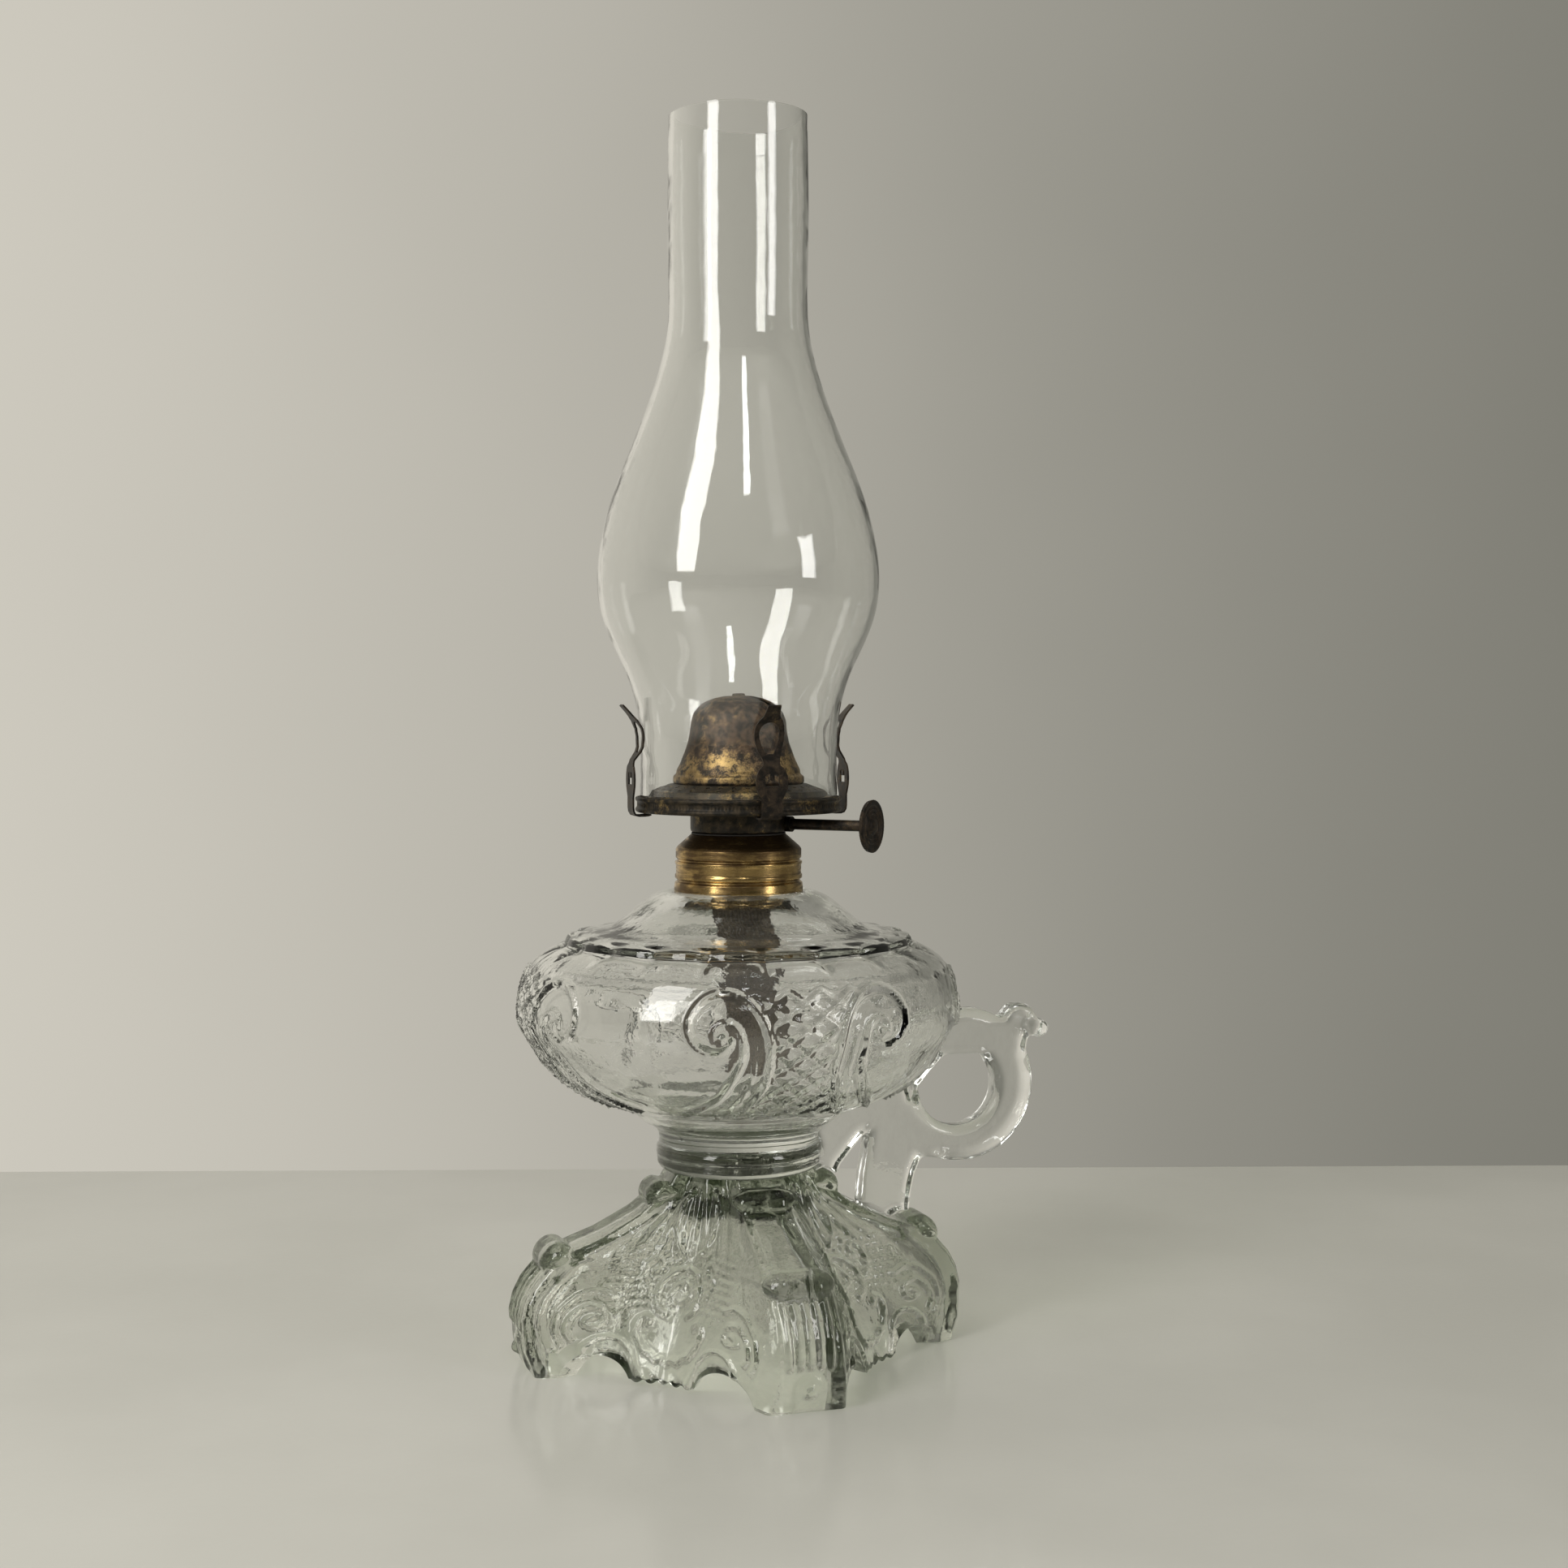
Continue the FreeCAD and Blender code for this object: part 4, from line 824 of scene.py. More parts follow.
def foot_relief(skin):
    """Ridges along the ornament's lines, grains between them high up, and flutes down each leg."""
    across, up = face_places(skin)
    flat = np.stack([across, up, 0 * up], axis=-1)
    height = np.zeros(across.shape)
    for line, wide, tall in FACE_LINES:
        path = flowing(line)
        path = np.stack([path[:, 0], path[:, 1], 0 * path[:, 0]], axis=1)
        height = np.maximum(height, tall * ridge(near_line(flat, path, np.full(len(path), wide))))
    open_ground = np.clip((up - 27.0) / 6.0, 0, 1) * np.clip((56.0 - up) / 6.0, 0, 1)
    open_ground = open_ground * np.clip((30.0 - across) / 4.0, 0, 1)
    plain = np.hypot(across / 1.2, (up - 18.5)) < 8.0
    height = np.maximum(height, 0.9 * grains(across, up, 3.3) * open_ground * ~plain)
    whole = np.concatenate([height[:, :-1]] * 4, axis=1)
    fade = np.clip((FOOT_HIGH - skin[..., 2]) / 1.5, 0, 1) * np.clip(skin[..., 2] / 2.0, 0, 1)
    return (whole + plumes(skin) + leg_relief(skin, whole)) * fade


def plumes(skin):
    """Low ribs that run down from the neck and spread as the foot widens."""
    angle = np.arctan2(skin[..., 1], skin[..., 0])
    z = skin[..., 2]
    band = np.clip((z - 41.0) / 5.0, 0, 1) * np.clip((69.0 - z) / 3.0, 0, 1)
    off_leg = np.clip((leg_fold(angle)[1] - 0.30) / 0.08, 0, 1)
    return 0.75 * np.abs(np.cos(angle * 26.0 + 0.05 * z)) * band * off_leg


# each roll across a leg: its height, half its straight length, and its thickness
LEG_ROLLS = ((64.0, 5.0, 5.6), (42.5, 5.6, 6.8))


def leg_relief(skin, ground):
    """Two pill-shaped rolls across each leg, five flutes below them, a toe shield and its boss.

    Every shape is placed by its distance across the leg and its distance along the leg's outline."""
    angle = np.arctan2(skin[..., 1], skin[..., 0])
    signed, size = leg_fold(angle)
    side = np.abs(np.hypot(skin[..., 0], skin[..., 1]) * np.sin(signed))
    near = np.clip((0.62 - size) / 0.1, 0, 1)
    down = np.arange(len(skin))[:, None] * ROW_STEP
    along = run_lengths(FOOT_ROWS[:, [1, 0]])
    height = np.zeros(side.shape)
    for centre, half_long, thick in LEG_ROLLS:
        gap = np.hypot(np.maximum(side - half_long, 0), down - np.interp(centre, FOOT_ROWS[:, 0], along))
        height = np.maximum(height, 0.82 * np.sqrt(np.clip(thick ** 2 - gap ** 2, 0, None)) * near)
    front = np.clip((10.2 - side) / 1.0, 0, 1) * (size < 0.5)
    run = np.clip((skin[..., 2] - 15.5) / 2.0, 0, 1) * np.clip((39.5 - skin[..., 2]) / 1.5, 0, 1)
    flutes = (1.7 * np.abs(np.cos(side * np.pi / 3.9)) - 0.3) * front * run
    top = 14.5 - 0.1 * side ** 2
    shield = 0.9 * np.clip((6.2 - side) / 0.7, 0, 1) * np.clip((top - skin[..., 2]) / 0.8, 0, 1)
    boss = 2.1 * ridge(np.hypot(side, (skin[..., 2] - 8.6)) / 3.8)
    made = np.maximum(np.maximum(height, flutes), (shield + boss) * (size < 0.5))
    return np.where(made > 0, np.maximum(made - ground, 0), 0)


def make_foot():
    """Outer skin with ornament and top, the hollow beneath, and the narrow ring they stand on."""
    skin = make_foot_body()
    skin = skin + normals_of(skin) * foot_relief(skin)[..., None]
    skin[..., 2] = np.clip(skin[..., 2], 0.0, FOOT_HIGH)
    angle = foot_angles()[::4]
    hollow_rows = FOOT_ROWS[1:-3].copy()
    hollow_rows[:, 0] -= 4.2 * np.minimum(1.0, hollow_rows[:, 0] / 40.0)
    length = run_lengths(hollow_rows[:, [1, 0]])
    even = np.linspace(0, length[-1], 34)
    hollow_rows = np.stack([np.interp(even, length, column) for column in hollow_rows.T], axis=1)
    radius = foot_skin(hollow_rows, angle, FOOT_WALL)
    radius = smoothed(smoothed(radius, 1.0, axis=1, wrap=True), 0.8)
    z = hollow_rows[:, :1] + 0 * radius
    edge = skin[0, ::4, 2]
    z = np.maximum(z, edge[None, :] + 0.15 * np.arange(len(z))[:, None])
    z[0] = edge
    crown = np.array([(0.93, 1.8), (0.80, 3.6), (0.60, 5.2), (0.32, 6.2)])
    radius = np.concatenate([radius, radius[-1:] * crown[:, :1]])
    z = np.concatenate([z, z[-1:] + crown[:, 1:]])
    hollow = np.stack([radius * np.cos(angle), radius * np.sin(angle), z], axis=-1)
    rows, columns = skin.shape[:2]
    first, quarter = rows * columns, columns // 4
    inner_rows = len(hollow)
    poles = first + inner_rows * quarter
    points = np.concatenate([skin.reshape(-1, 3), hollow.reshape(-1, 3),
                             [[0, 0, FOOT_HIGH], [0, 0, hollow[-1, 0, 2]]]])
    inner_faces = grid_faces(inner_rows, quarter, first)[:, ::-1]
    under = bridge_faces(np.arange(columns), first + np.arange(quarter))[:, ::-1]
    ceiling = fan_faces(first + (inner_rows - 1) * quarter + np.arange(quarter), poles + 1)
    joint = fan_faces((rows - 1) * columns + np.arange(columns), poles, False)
    faces = [grid_faces(rows, columns), inner_faces, np.concatenate([under, ceiling]), joint]
    return new_piece("pressed_foot", points, faces, "lamp_body", ["glass_foot"], "foot_glass",
                     foot_glass, 70.0, len(joint))


pressed_foot = make_foot()

# %% [markdown]
# ## The handle
# The handle was pressed with the font, and fire polish rounded every edge of it. The CAD handle has
# the right outline but flat faces with bevels. A copy of its mesh is merged, given an even skin of
# small faces, and relaxed, which rounds the edges the way heat does and keeps the outline.

# %% Handle
EVEN_SKIN, RELAX_STEPS, REGROWN = 0.85, 16, 0.1


def make_handle():
    """Merge the loose triangles, remesh evenly, smooth, and push the skin back out a little."""
    shape = bmesh.new()
    shape.from_mesh(frame["nodes"]["glass_handle"].data)
    bmesh.ops.remove_doubles(shape, verts=shape.verts, dist=0.02 * MM)
    mesh = bpy.data.meshes.new("handle")
    shape.to_mesh(mesh)
    shape.free()
    piece = add_object("handle", mesh)
    skin = piece.modifiers.new("even skin", "REMESH")
    skin.mode, skin.voxel_size, skin.use_smooth_shade = "VOXEL", EVEN_SKIN * MM, True
    relax = piece.modifiers.new("relax", "SMOOTH")
    relax.factor, relax.iterations = 0.5, RELAX_STEPS
    regrow = piece.modifiers.new("regrow", "DISPLACE")
    regrow.strength, regrow.mid_level = REGROWN * MM, 0.0
    depsgraph = bpy.context.evaluated_depsgraph_get()
    rounded = bpy.data.meshes.new_from_object(piece.evaluated_get(depsgraph))
    piece.modifiers.clear()
    piece.data = rounded
    rounded.materials.clear()
    rounded.materials.append(font_glass)
    rounded.polygons.foreach_set("use_smooth", np.ones(len(rounded.polygons), bool))
    return settle(piece, "lamp_body", ["glass_handle"], "font_glass")


handle = make_handle()

# %% [markdown]
# ## Brass
# The burner was bright brass once. Heat and oil turned it brown and black, and handling wore it back
# to gold on the flare and beads. One recipe makes all of it: broad blotches, a finer mottle and fine
# specks choose between black, brown and gold, and the same patterns roughen and pit the surface.


# %% Brass finishes
def make_brass(name, dark, brown, gold, worn, rough=(0.55, 0.3), pits=0.00012, band=None):
    """Mottled brass; worn is how much gold shows, band a pair of heights between which more does."""
    brass = Finish(name)
    broad = brass.noise(70.0, 3.0, 0.5, bend=0.6)
    mottle = brass.noise(330.0, 5.0, 0.62, bend=0.3)
    specks = brass.noise(1500.0, 3.0, 0.6)
    amount = broad * 0.5 + mottle * 0.5 + (specks - 0.5) * 0.35
    if band is not None:
        height = brass.node("ShaderNodeSeparateXYZ", None, {0: brass.place()}, out="Z")
        low, high = band
        near = height.between(low - 0.003, low) * (1.0 - height.between(high, high + 0.006))
        amount = amount + near * 0.12
    share = amount.between(0.62 - worn * 0.34, 0.82 - worn * 0.34)
    ground = brass.blend(mottle.between(0.38, 0.62), dark, brown)
    colour = brass.blend(share, ground, gold)
    tarnish = brass.blend(specks.between(0.55, 0.75) * 0.35, colour, dark)
    gloss = rough[0] + (rough[1] - rough[0]) * share + (mottle - 0.5) * 0.22
    return brass.surface({
        "Base Color": tarnish, "Metallic": 0.72 + share * 0.26, "Roughness": gloss,
        "Normal": brass.bump(mottle * 0.6 + specks * 0.4, pits, 0.8)})


burner_brass = make_brass("burner_brass", (0.016, 0.014, 0.011), (0.055, 0.042, 0.026),
                          (0.36, 0.25, 0.10), 0.22, (0.5, 0.32))
dome_brass = make_brass("dome_brass", (0.022, 0.017, 0.013), (0.085, 0.055, 0.034),
                        (0.33, 0.225, 0.095), 0.25, (0.55, 0.42), band=(0.2225, 0.2290))
bright_brass = make_brass("bright_brass", (0.10, 0.06, 0.03), (0.24, 0.15, 0.06), (0.50, 0.34, 0.13), 0.6)
prong_steel = make_brass("prong_steel", (0.014, 0.012, 0.010), (0.050, 0.036, 0.024),
                         (0.22, 0.15, 0.07), 0.12, (0.5, 0.36))
print("burner brass made")


# %% Collar brass
def make_collar_brass():
    """Golden brass with brown streaks running round, and browner toward the top."""
    brass = Finish("collar_brass")
    round_it = brass.place((1.0, 1.0, 7.0))
    streak = brass.noise(55.0, 5.0, 0.6, round_it, 0.8)
    blotch = brass.noise(120.0, 4.0, 0.55)
    scratch = brass.noise(900.0, 2.0, 0.5, brass.place((1.0, 1.0, 9.0)))
    height = brass.node("ShaderNodeSeparateXYZ", None, {0: brass.place()}, out="Z")
    # The stain share climbs over the collar's top, from 188 to 199 mm up, so its upper band comes out
    # browner.
    stain = (streak * 0.6 + blotch * 0.4 + height.between(0.188, 0.199) * 0.13).between(0.40, 0.62)
    colour = brass.blend(stain, (0.56, 0.38, 0.15), (0.115, 0.072, 0.032))
    colour = brass.blend(scratch.between(0.6, 0.8) * 0.4, colour, (0.74, 0.58, 0.30))
    return brass.surface({
        "Base Color": colour, "Metallic": 0.94, "Roughness": 0.17 + stain * 0.24 + (scratch - 0.5) * 0.12,
        "Normal": brass.bump(scratch * 0.5 + blotch * 0.5, 0.00006, 0.7)})


def make_plaster():
    """Chalky filler with a coarse grain."""
    plaster = Finish("plaster")
    grain = plaster.noise(600.0, 5.0, 0.65)
    patch = plaster.noise(90.0, 3.0, 0.5)
    colour = plaster.blend(patch.between(0.35, 0.65), (0.52, 0.47, 0.38), (0.66, 0.62, 0.54))
    return plaster.surface({"Base Color": colour, "Roughness": 0.82 + grain * 0.15,
                     "Normal": plaster.bump(grain, 0.0002)})


def make_rubber():
    """A dark, dusty gasket."""
    rubber = Finish("seam_rubber")
    dust = rubber.noise(400.0, 4.0, 0.6)
    colour = rubber.blend(dust.between(0.5, 0.75), (0.018, 0.015, 0.012), (0.06, 0.05, 0.04))
    return rubber.surface({"Base Color": colour, "Roughness": 0.6 + dust * 0.25,
                    "Normal": rubber.bump(dust, 0.00008)})


collar_brass, plaster, seam_rubber = make_collar_brass(), make_plaster(), make_rubber()
print("collar, plaster and gasket finishes made")

# %% [markdown]
# ## Spun and pressed metal
# The collar, gallery, barrel and dome were spun or drawn from sheet. In the CAD they are exact but
# made of flat facets, which glossy metal shows, so the ones in sight are turned again from the same
# corners with rounded edges and many columns. The dome's wick slot is then cut by a Boolean.

# %% Collar
SHAFT_WAY = np.array([math.sqrt(0.5), -math.sqrt(0.5), 0.0])
WICK_FACE = np.array([math.sqrt(0.5), math.sqrt(0.5), 0.0])
UP = np.array([0.0, 0.0, 1.0])
SHOULDER = level("collar_shell")


def raised(corners, base):
    """Corners given as (radius, height above base)."""
    return [(r, base + z) for r, z in corners]


collar = lathe_piece("collar", closed_loop(raised([
    (23.1, 0.0), (24.9, 0.0), (25.0, 0.5), (24.7, 3.4), (23.75, 4.1), (23.75, 4.6), (24.6, 5.2), (24.6, 6.4),
    (24.2, 6.9), (24.25, 10.3), (24.6, 10.8), (24.6, 11.5), (23.7, 12.0), (23.7, 12.5), (24.3, 13.0),
    (24.3, 16.3), (23.6, 17.3), (18.3, 22.0), (16.35, 22.0),
    (16.35, 10.7), (16.95, 10.7), (16.95, 21.1), (17.8, 21.1), (23.1, 16.2),
], SHOULDER), 0.2, 0.10), "lamp_body", ["collar_shell"], "collar_brass", collar_brass, 200, 75.0)

# %% Barrel and gallery
BARREL_LOW = level("burner_barrel")
barrel = lathe_piece("barrel", closed_loop(raised([
    (15.6, 0.0), (17.45, 0.0), (18.35, 0.4), (18.65, 1.4), (18.65, 10.3), (18.15, 10.3), (18.15, 1.4),
    (17.5, 0.6), (15.6, 0.6),
], BARREL_LOW), 0.3, 0.12), "burner", ["burner_barrel"], "burner_brass", burner_brass, 160, 75.0)

GALLERY_LOW = level("gallery_dish") + 0.6
GALLERY_COLUMNS, COLUMNS_A_NICK = 720, 4


def make_gallery():
    """The dish and its two beads; fine upright nicks run round the band between them."""
    loop = closed_loop(raised([
        (18.65, 0.0), (38.2, 0.0), (38.9, -0.6), (39.7, -0.2), (39.9, 0.7), (39.2, 1.6), (39.2, 3.5),
        (39.9, 4.2), (39.8, 5.1), (39.1, 5.4), (38.6, 5.0), (38.6, 0.6), (18.65, 0.6),
    ], GALLERY_LOW), 0.4, 0.14)
    grid = spin(loop, GALLERY_COLUMNS)
    band = np.exp(-((loop[:, 1] - GALLERY_LOW - 2.5) / 0.9) ** 2) * (loop[:, 0] > 38.95)
    nick = 0.5 - 0.5 * np.cos(np.arange(GALLERY_COLUMNS) * 2 * np.pi / COLUMNS_A_NICK)
    grid[..., :2] *= (1 - 0.0045 * band[:, None] * nick[None, :])[..., None]
    return new_piece("gallery", grid, [grid_faces(len(loop), GALLERY_COLUMNS, close=True)], "burner",
                     ["gallery_dish"], "burner_brass", burner_brass, 75.0)


gallery = make_gallery()

# %% Dome
DOME_LOW = level("deflector_dome")
DOME_TOP = level("deflector_dome", "high")
DOME_OUTSIDE = [
    (24.6, 0.0), (25.3, 0.6), (25.3, 3.0), (24.4, 3.6), (24.0, 4.3), (24.0, 5.3), (22.8, 7.8), (21.1, 11.9),
    (19.8, 15.6), (19.0, 19.6), (18.4, 24.4), (17.5, 27.4), (15.7, 29.6), (13.1, 31.7), (9.5, 33.2),
    (5.7, 34.0), (0.4, 34.3),
]
DOME_COLUMNS, DOME_SHEET = 240, 0.5


def make_dome():
    """A thin bell, dented a little by use, closed over its crown and slotted across for the wick."""
    outside = walked(raised(DOME_OUTSIDE, DOME_LOW), 0.45, 0.28)
    outside[:, 0] = np.maximum(outside[:, 0], 0.35)
    slope = np.gradient(outside, axis=0)
    slope /= np.linalg.norm(slope, axis=1, keepdims=True)
    inside = outside + np.stack([-slope[:, 1], slope[:, 0]], axis=1) * DOME_SHEET
    inside[:, 1] = np.maximum(inside[:, 1], DOME_LOW)
    inside[:, 0] = np.maximum(inside[:, 0], 0.35)
    loop = np.concatenate([outside, inside[::-1]])
    grid = spin(loop, DOME_COLUMNS)
    angle = np.arctan2(grid[..., 1], grid[..., 0])
    rise = (grid[..., 2] - DOME_LOW) / 34.3
    dent = 0.16 * np.sin(angle * 3 + 4 * rise) * np.sin(rise * 7) + 0.1 * np.sin(angle * 7 + 9 * rise)
    grid[..., :2] *= (1 - (0.006 + 0.010 * (dent + 0.2)) * np.clip(rise * 4, 0, 1))[..., None]
    piece = new_piece("dome", grid, [grid_faces(len(loop), DOME_COLUMNS, close=True)], "burner",
                      ["deflector_dome"], "burner_brass", dome_brass)
    cut_slot(piece)
    return piece


SLOT_HALF, SLOT_DEEP = 2.75, 10.6


def cut_slot(piece):
    """Take the wick's slot out of the crown with a box turned to the wick's width."""
    low, high = DOME_TOP - SLOT_DEEP, DOME_TOP + 5.0
    ends = [(a * 32.0, b * SLOT_HALF, c) for c in (low, high) for b in (-1, 1) for a in (-1, 1)]
    points = np.array([a * SHAFT_WAY + b * WICK_FACE + c * UP for a, b, c in ends]) * MM
    faces = [(0, 2, 3, 1), (4, 5, 7, 6), (0, 1, 5, 4), (2, 6, 7, 3), (0, 4, 6, 2), (1, 3, 7, 5)]
    mesh = bpy.data.meshes.new("slot_tool")
    mesh.from_pydata([tuple(p) for p in points], [], faces)
    tool = add_object("slot_tool", mesh)
    cutter = piece.modifiers.new("slot", "BOOLEAN")
    cutter.operation, cutter.object, cutter.solver = "DIFFERENCE", tool, "EXACT"
    depsgraph = bpy.context.evaluated_depsgraph_get()
    shape = bpy.data.meshes.new_from_object(piece.evaluated_get(depsgraph))
    piece.modifiers.clear()
    piece.data = shape
    shape.set_sharp_from_angle(angle=math.radians(38.0))
    bpy.data.objects.remove(tool)
    print("dome slotted,", len(shape.polygons), "faces")


dome = make_dome()

# %% [markdown]
# ## Thumb wheel
# The thumb wheel is a pressed disc with ring ridges. It is turned about the raiser's own axis, set out along
# the shaft from the wheel joint's place, which the frame gives.

# %% Thumb wheel
turn_joint = next(j for j in frame["joints"] if j["name"] == "wheel_turn")
WHEEL_REACH, WHEEL_COLUMNS = 54.0, 192


def make_wheel():
    """A lathe along the shaft: ridged front, plain back, rolled and nicked rim."""
    front = walked([
        (0.25, 2.0), (1.4, 1.95), (2.9, 1.4), (3.6, 0.55), (4.4, 0.5), (4.9, 1.0), (5.4, 0.5), (6.0, 0.5),
        (6.5, 1.05), (7.0, 0.55), (7.6, 0.6), (8.3, 1.1), (9.2, 1.2), (10.1, 0.9),
    ][::-1], 0.22, 0.10)
    back = walked([(0.25, -0.5), (2.6, -0.5), (3.2, -0.15), (6.5, -0.15), (7.2, -0.5), (9.8, -0.5)], 0.5, 0.1)
    line = np.concatenate([back, front])
    grid = spin(line, WHEEL_COLUMNS)
    reach = np.hypot(grid[..., 0], grid[..., 1])
    nick = 0.12 * (0.5 + 0.5 * np.cos(np.arange(WHEEL_COLUMNS) * 2 * np.pi / COLUMNS_A_NICK))
    scale = 1 - np.where(reach > 9.6, nick[None, :] / 10.0, 0)
    side = np.cross(UP, SHAFT_WAY)
    centre = np.array(turn_joint["pos_m"]) / MM + SHAFT_WAY * WHEEL_REACH
    flat = grid[..., :2] * scale[..., None]
    points = centre + flat[..., :1] * side + flat[..., 1:] * UP + grid[..., 2:] * SHAFT_WAY
    rows = len(line)
    points = np.concatenate([points.reshape(-1, 3), [centre - 0.5 * SHAFT_WAY, centre + 2.0 * SHAFT_WAY]])
    faces = [grid_faces(rows, WHEEL_COLUMNS), end_fans(rows, WHEEL_COLUMNS)]
    return new_piece("thumb_wheel_disc", points, faces, "raiser", ["thumb_wheel"], "burner_brass",
                     prong_steel, 60.0)


thumb_disc = make_wheel()

# %% [markdown]
# ## The wick
# A flat wick is a thick woven cotton tape. It stands straight in its tube and bends where it hangs in
# the bowl. The tape is carried along that line as a closed band with rounded edges, and its own
# length and width coordinates carry the weave, so that the threads follow the bend.

# %% Wick finish
THREAD_WIDE, THREAD_LONG = 1.6, 2.4


def make_cotton():
    """Plain weave from two waves across and along, stained by oil and darker in blotches, with painted shade
    in the hollows between threads.
    """
    cotton = Finish("wick_cotton")
    uv = cotton.node("ShaderNodeUVMap", {"uv_map": "weave"})
    across = cotton.node("ShaderNodeSeparateXYZ", None, {0: uv}, out="X")
    along = cotton.node("ShaderNodeSeparateXYZ", None, {0: uv}, out="Y")
    wide, long = math.pi / (THREAD_WIDE * MM), math.pi / (THREAD_LONG * MM)
    warp = (across * (2 * wide)).math("SINE")
    weft = (along * (2 * long)).math("SINE")
    twill = (across * wide).math("SINE") * (along * long).math("SINE")
    fuzz = cotton.noise(2600.0, 3.0, 0.6)
    stain = cotton.noise(60.0, 4.0, 0.6)
    thread = (warp * 0.25 + weft * 0.25 + twill * 0.35 + 0.5 + (fuzz - 0.5) * 0.5)
    colour = cotton.blend(stain.between(0.35, 0.65), (0.105, 0.084, 0.060), (0.055, 0.042, 0.030))
    # Painted shade: where the weave dips between threads, the colour is taken 65 percent of the way to near
    # black.
    colour = cotton.blend(thread.between(0.1, 0.9), cotton.blend(0.65, colour, (0.008, 0.006, 0.004)), colour)
    return cotton.surface({
        "Base Color": colour, "Roughness": 0.85 + (fuzz - 0.5) * 0.2, "Sheen Weight": 0.25,
        "Normal": cotton.bump(thread, 0.0005, 0.9)})


wick_cotton = make_cotton()
print("wick finish made")

# %% Wick tape
WICK_TOP = level("flat_wick", "high")
WICK_LOW = level("flat_wick")
WICK_BEND = WICK_TOP - 74.9
WICK_STEPS = [
    (0.0, 0.0), (0.9, 0.08), (3.6, 0.18), (7.8, 0.30), (11.6, 0.42), (14.0, 0.54), (15.0, 0.68),
    (14.8, 0.80), (14.0, 0.92), (13.4, 0.995),
]
WICK_WIDE, WICK_THICK, WEAVE_RISE = 25.2, 1.9, 0.09


def make_wick():
    """A rounded band swept down the wick's line, its top corners trimmed away for an even flame.

    The thread relief is a fine wave on both faces."""
    drop = WICK_BEND - WICK_LOW
    line = [(0.0, WICK_TOP - 0.1)] + [(off, WICK_BEND - drop * share) for off, share in WICK_STEPS]
    path = walked(line, 0.6, 3.0)
    slope = np.gradient(path, axis=0)
    slope /= np.linalg.norm(slope, axis=1, keepdims=True)
    normal = np.stack([-slope[:, 1], slope[:, 0]], axis=1)
    half = WICK_WIDE / 2
    round_edge, thick = 0.9, WICK_THICK / 2
    flat = np.linspace(-half + round_edge, half - round_edge, 43)
    turn = np.linspace(0, np.pi, 8)[1:-1]
    edge = np.stack([half - round_edge + round_edge * np.sin(turn), -thick * np.cos(turn)], axis=1)
    section = np.concatenate([
        np.stack([flat, np.full(len(flat), -thick)], axis=1), edge,
        np.stack([flat[::-1], np.full(len(flat), thick)], axis=1), -edge])
    length = run_lengths(path)
    weave = WEAVE_RISE * (np.sin(section[:, 0] * 2 * np.pi / THREAD_WIDE)[None, :]
                          * np.sin(length * 2 * np.pi / THREAD_LONG)[:, None])
    rise = section[:, 1][None, :] * (1 - WEAVE_RISE + weave * np.sign(section[:, 1])[None, :])
    off = path[:, :1] + rise * normal[:, :1]
    z = path[:, 1:] + rise * normal[:, 1:]
    points = section[:, 0][None, :, None] * SHAFT_WAY + off[..., None] * WICK_FACE + z[..., None] * UP
    rows, columns = points.shape[:2]
    across = np.abs(section[:, 0])
    trim = 6.5 * np.clip((across - 2.2) / 2.6, 0, 1) + 0.03 * across ** 2
    points[..., 2] -= trim[None, :] * np.exp(-length / 7.0)[:, None]
    caps = np.concatenate([points.reshape(-1, 3), points[0].mean(0)[None], points[-1].mean(0)[None]])
    faces = [grid_faces(rows, columns), end_fans(rows, columns)]
    piece = new_piece("wick_tape", caps, faces, "wick", ["flat_wick"], "wick_cotton", wick_cotton, 75.0)
    spread = np.concatenate([
        np.stack([np.broadcast_to(section[:, 0], (rows, columns)),
                  np.broadcast_to(length[:, None], (rows, columns))], axis=-1).reshape(-1, 2),
        [[0.0, 0.0], [0.0, length[-1]]]]) * MM
    layer = piece.data.uv_layers.new(name="weave")
    numbers = np.empty(len(piece.data.loops), np.int32)
    piece.data.loops.foreach_get("vertex_index", numbers)
    layer.data.foreach_set("uv", spread[numbers].ravel())
    return piece, length[-1] * MM


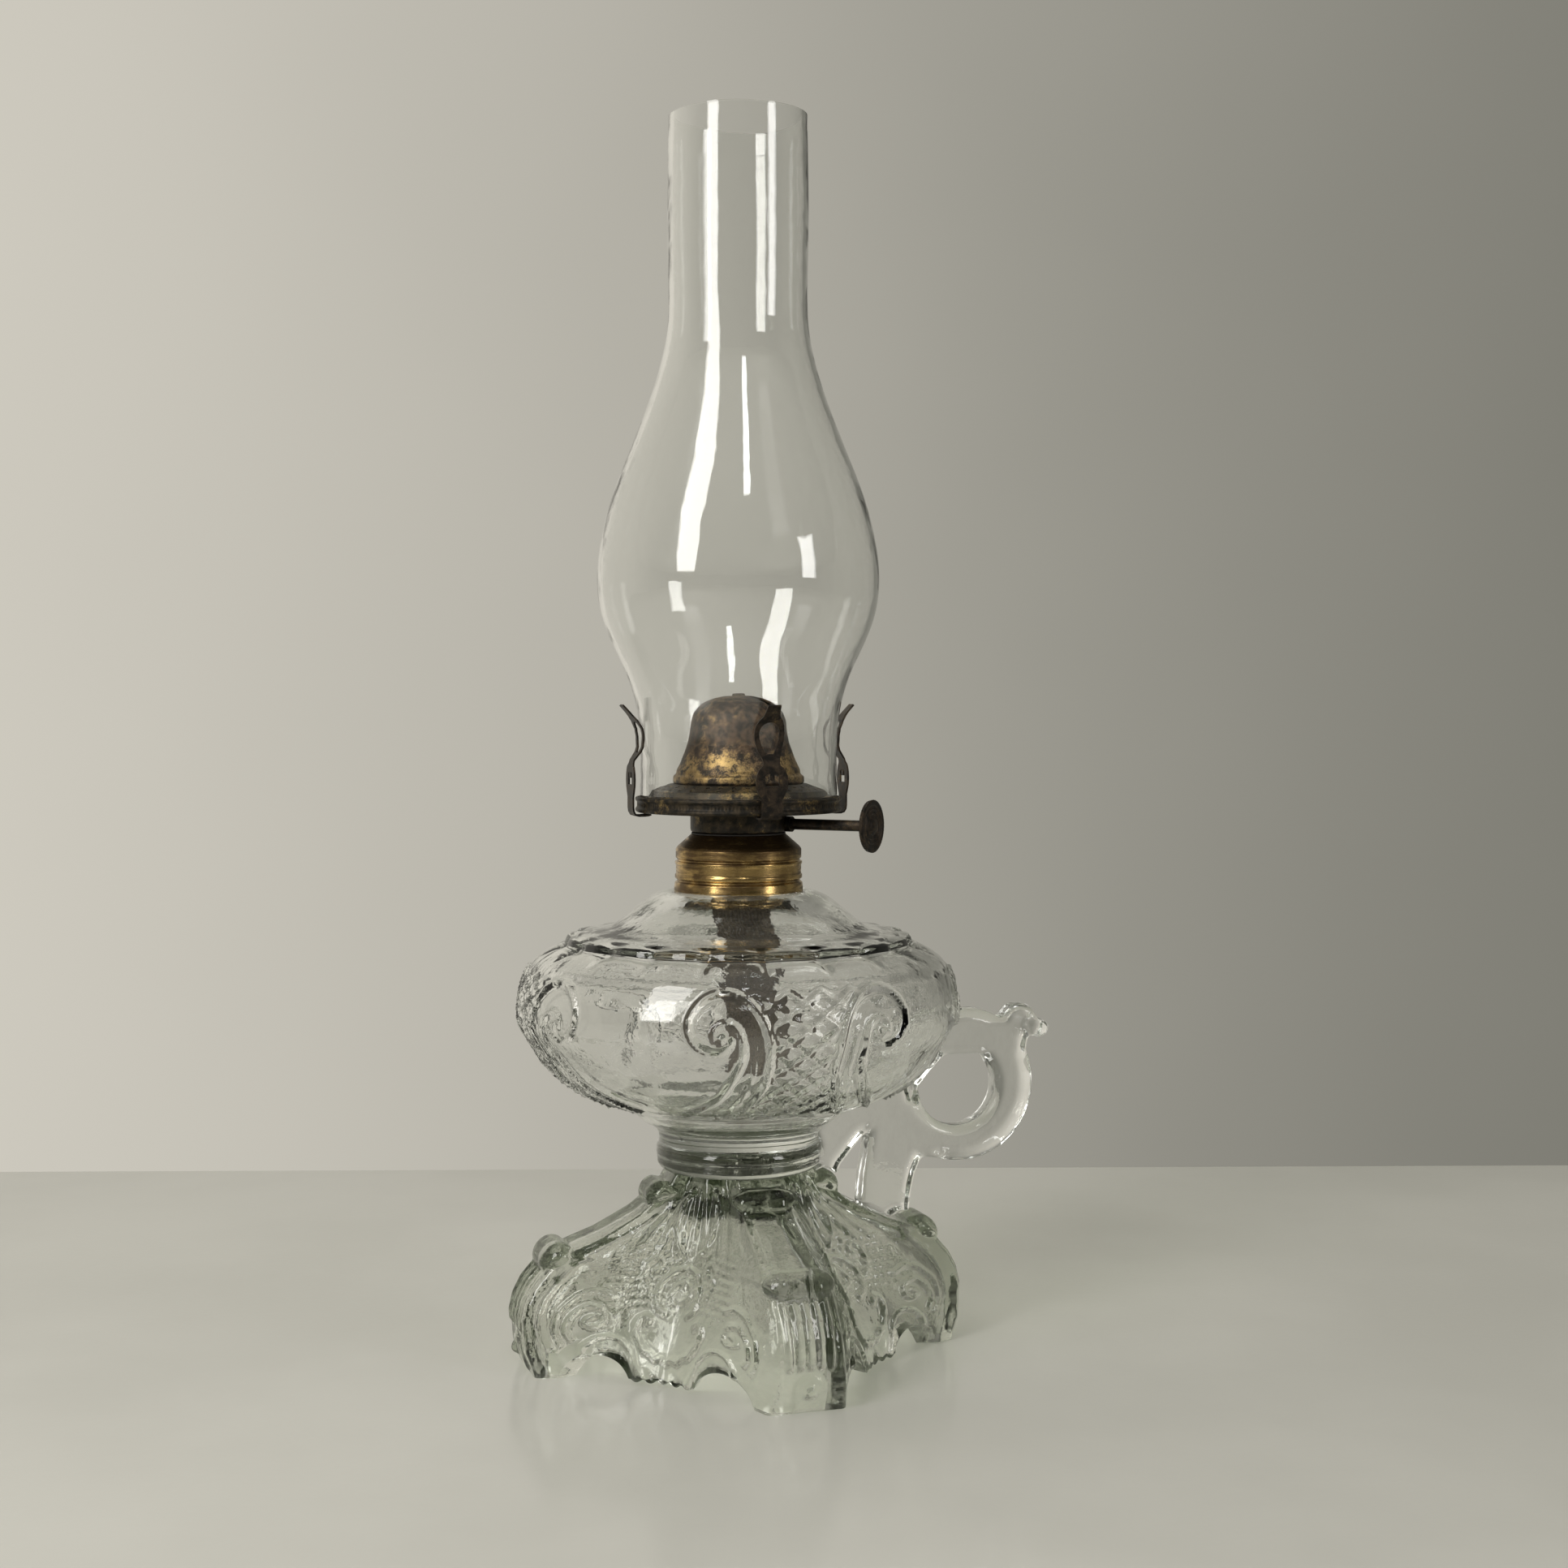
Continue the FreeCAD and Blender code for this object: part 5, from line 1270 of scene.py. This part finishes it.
wick, wick_length = make_wick()
print("wick length", round(wick_length, 4))

# %% [markdown]
# ## Finishes for the pieces kept from the CAD
# The prongs, pierced plate, shaft and the works inside the burner are already the right
# shape, so they keep their CAD meshes and only take a finish.

# %% Dress the CAD nodes
CAD_FINISHES = {
    "collar_plaster": plaster, "burner_seam_ring": seam_rubber,
    "burner_thimble": burner_brass, "shaft_bushing": burner_brass, "air_plate": burner_brass,
    "wick_tube": bright_brass, "spur_cage": bright_brass, "raiser_shaft": prong_steel,
    "spur_wheel_1": bright_brass, "spur_wheel_2": bright_brass, "spur_wheel_3": bright_brass,
    "spur_wheel_4": bright_brass, "prong_right": prong_steel, "prong_back": prong_steel,
    "prong_left": prong_steel, "prong_front": prong_steel,
}
for node, finish in CAD_FINISHES.items():
    shown = frame["nodes"][node]
    if not shown.material_slots:
        shown.data.materials.append(finish)
    for place in shown.material_slots:
        place.link = "OBJECT"
        place.material = finish
print("dressed", len(CAD_FINISHES), "CAD nodes")

# %% [markdown]
# ## The table
# A plain pale table top with a soft gloss. Its far edge lies a third of a metre behind the lamp.


# %% Table
def make_table():
    """A flat sheet under the lamp, with a whitish, faintly uneven gloss."""
    table = Finish("table_top")
    smear = table.noise(5.0, 4.0, 0.5)
    colour = table.blend(smear.between(0.3, 0.7), (0.755, 0.745, 0.685), (0.68, 0.672, 0.614))
    table.surface({"Base Color": colour, "Roughness": 0.17 + (smear - 0.5) * 0.10,
                   "Normal": table.bump(table.noise(300.0, 2.0, 0.5), 0.00002)})
    mesh = bpy.data.meshes.new("table_top")
    ends = [(0.335, -2.4), (-2.6, -2.4), (-2.6, 2.4), (0.335, 2.4)]
    mesh.from_pydata([on_ground(a, b, -0.0002) for a, b in ends], [], [(0, 1, 2, 3)])
    mesh.materials.append(table.material)
    add_object("table_top", mesh)


make_table()
scene = bpy.context.scene
scene.cycles.max_bounces = 28
scene.cycles.transmission_bounces = 28
scene.cycles.glossy_bounces = 8
scene.cycles.transparent_max_bounces = 32
print("table laid")
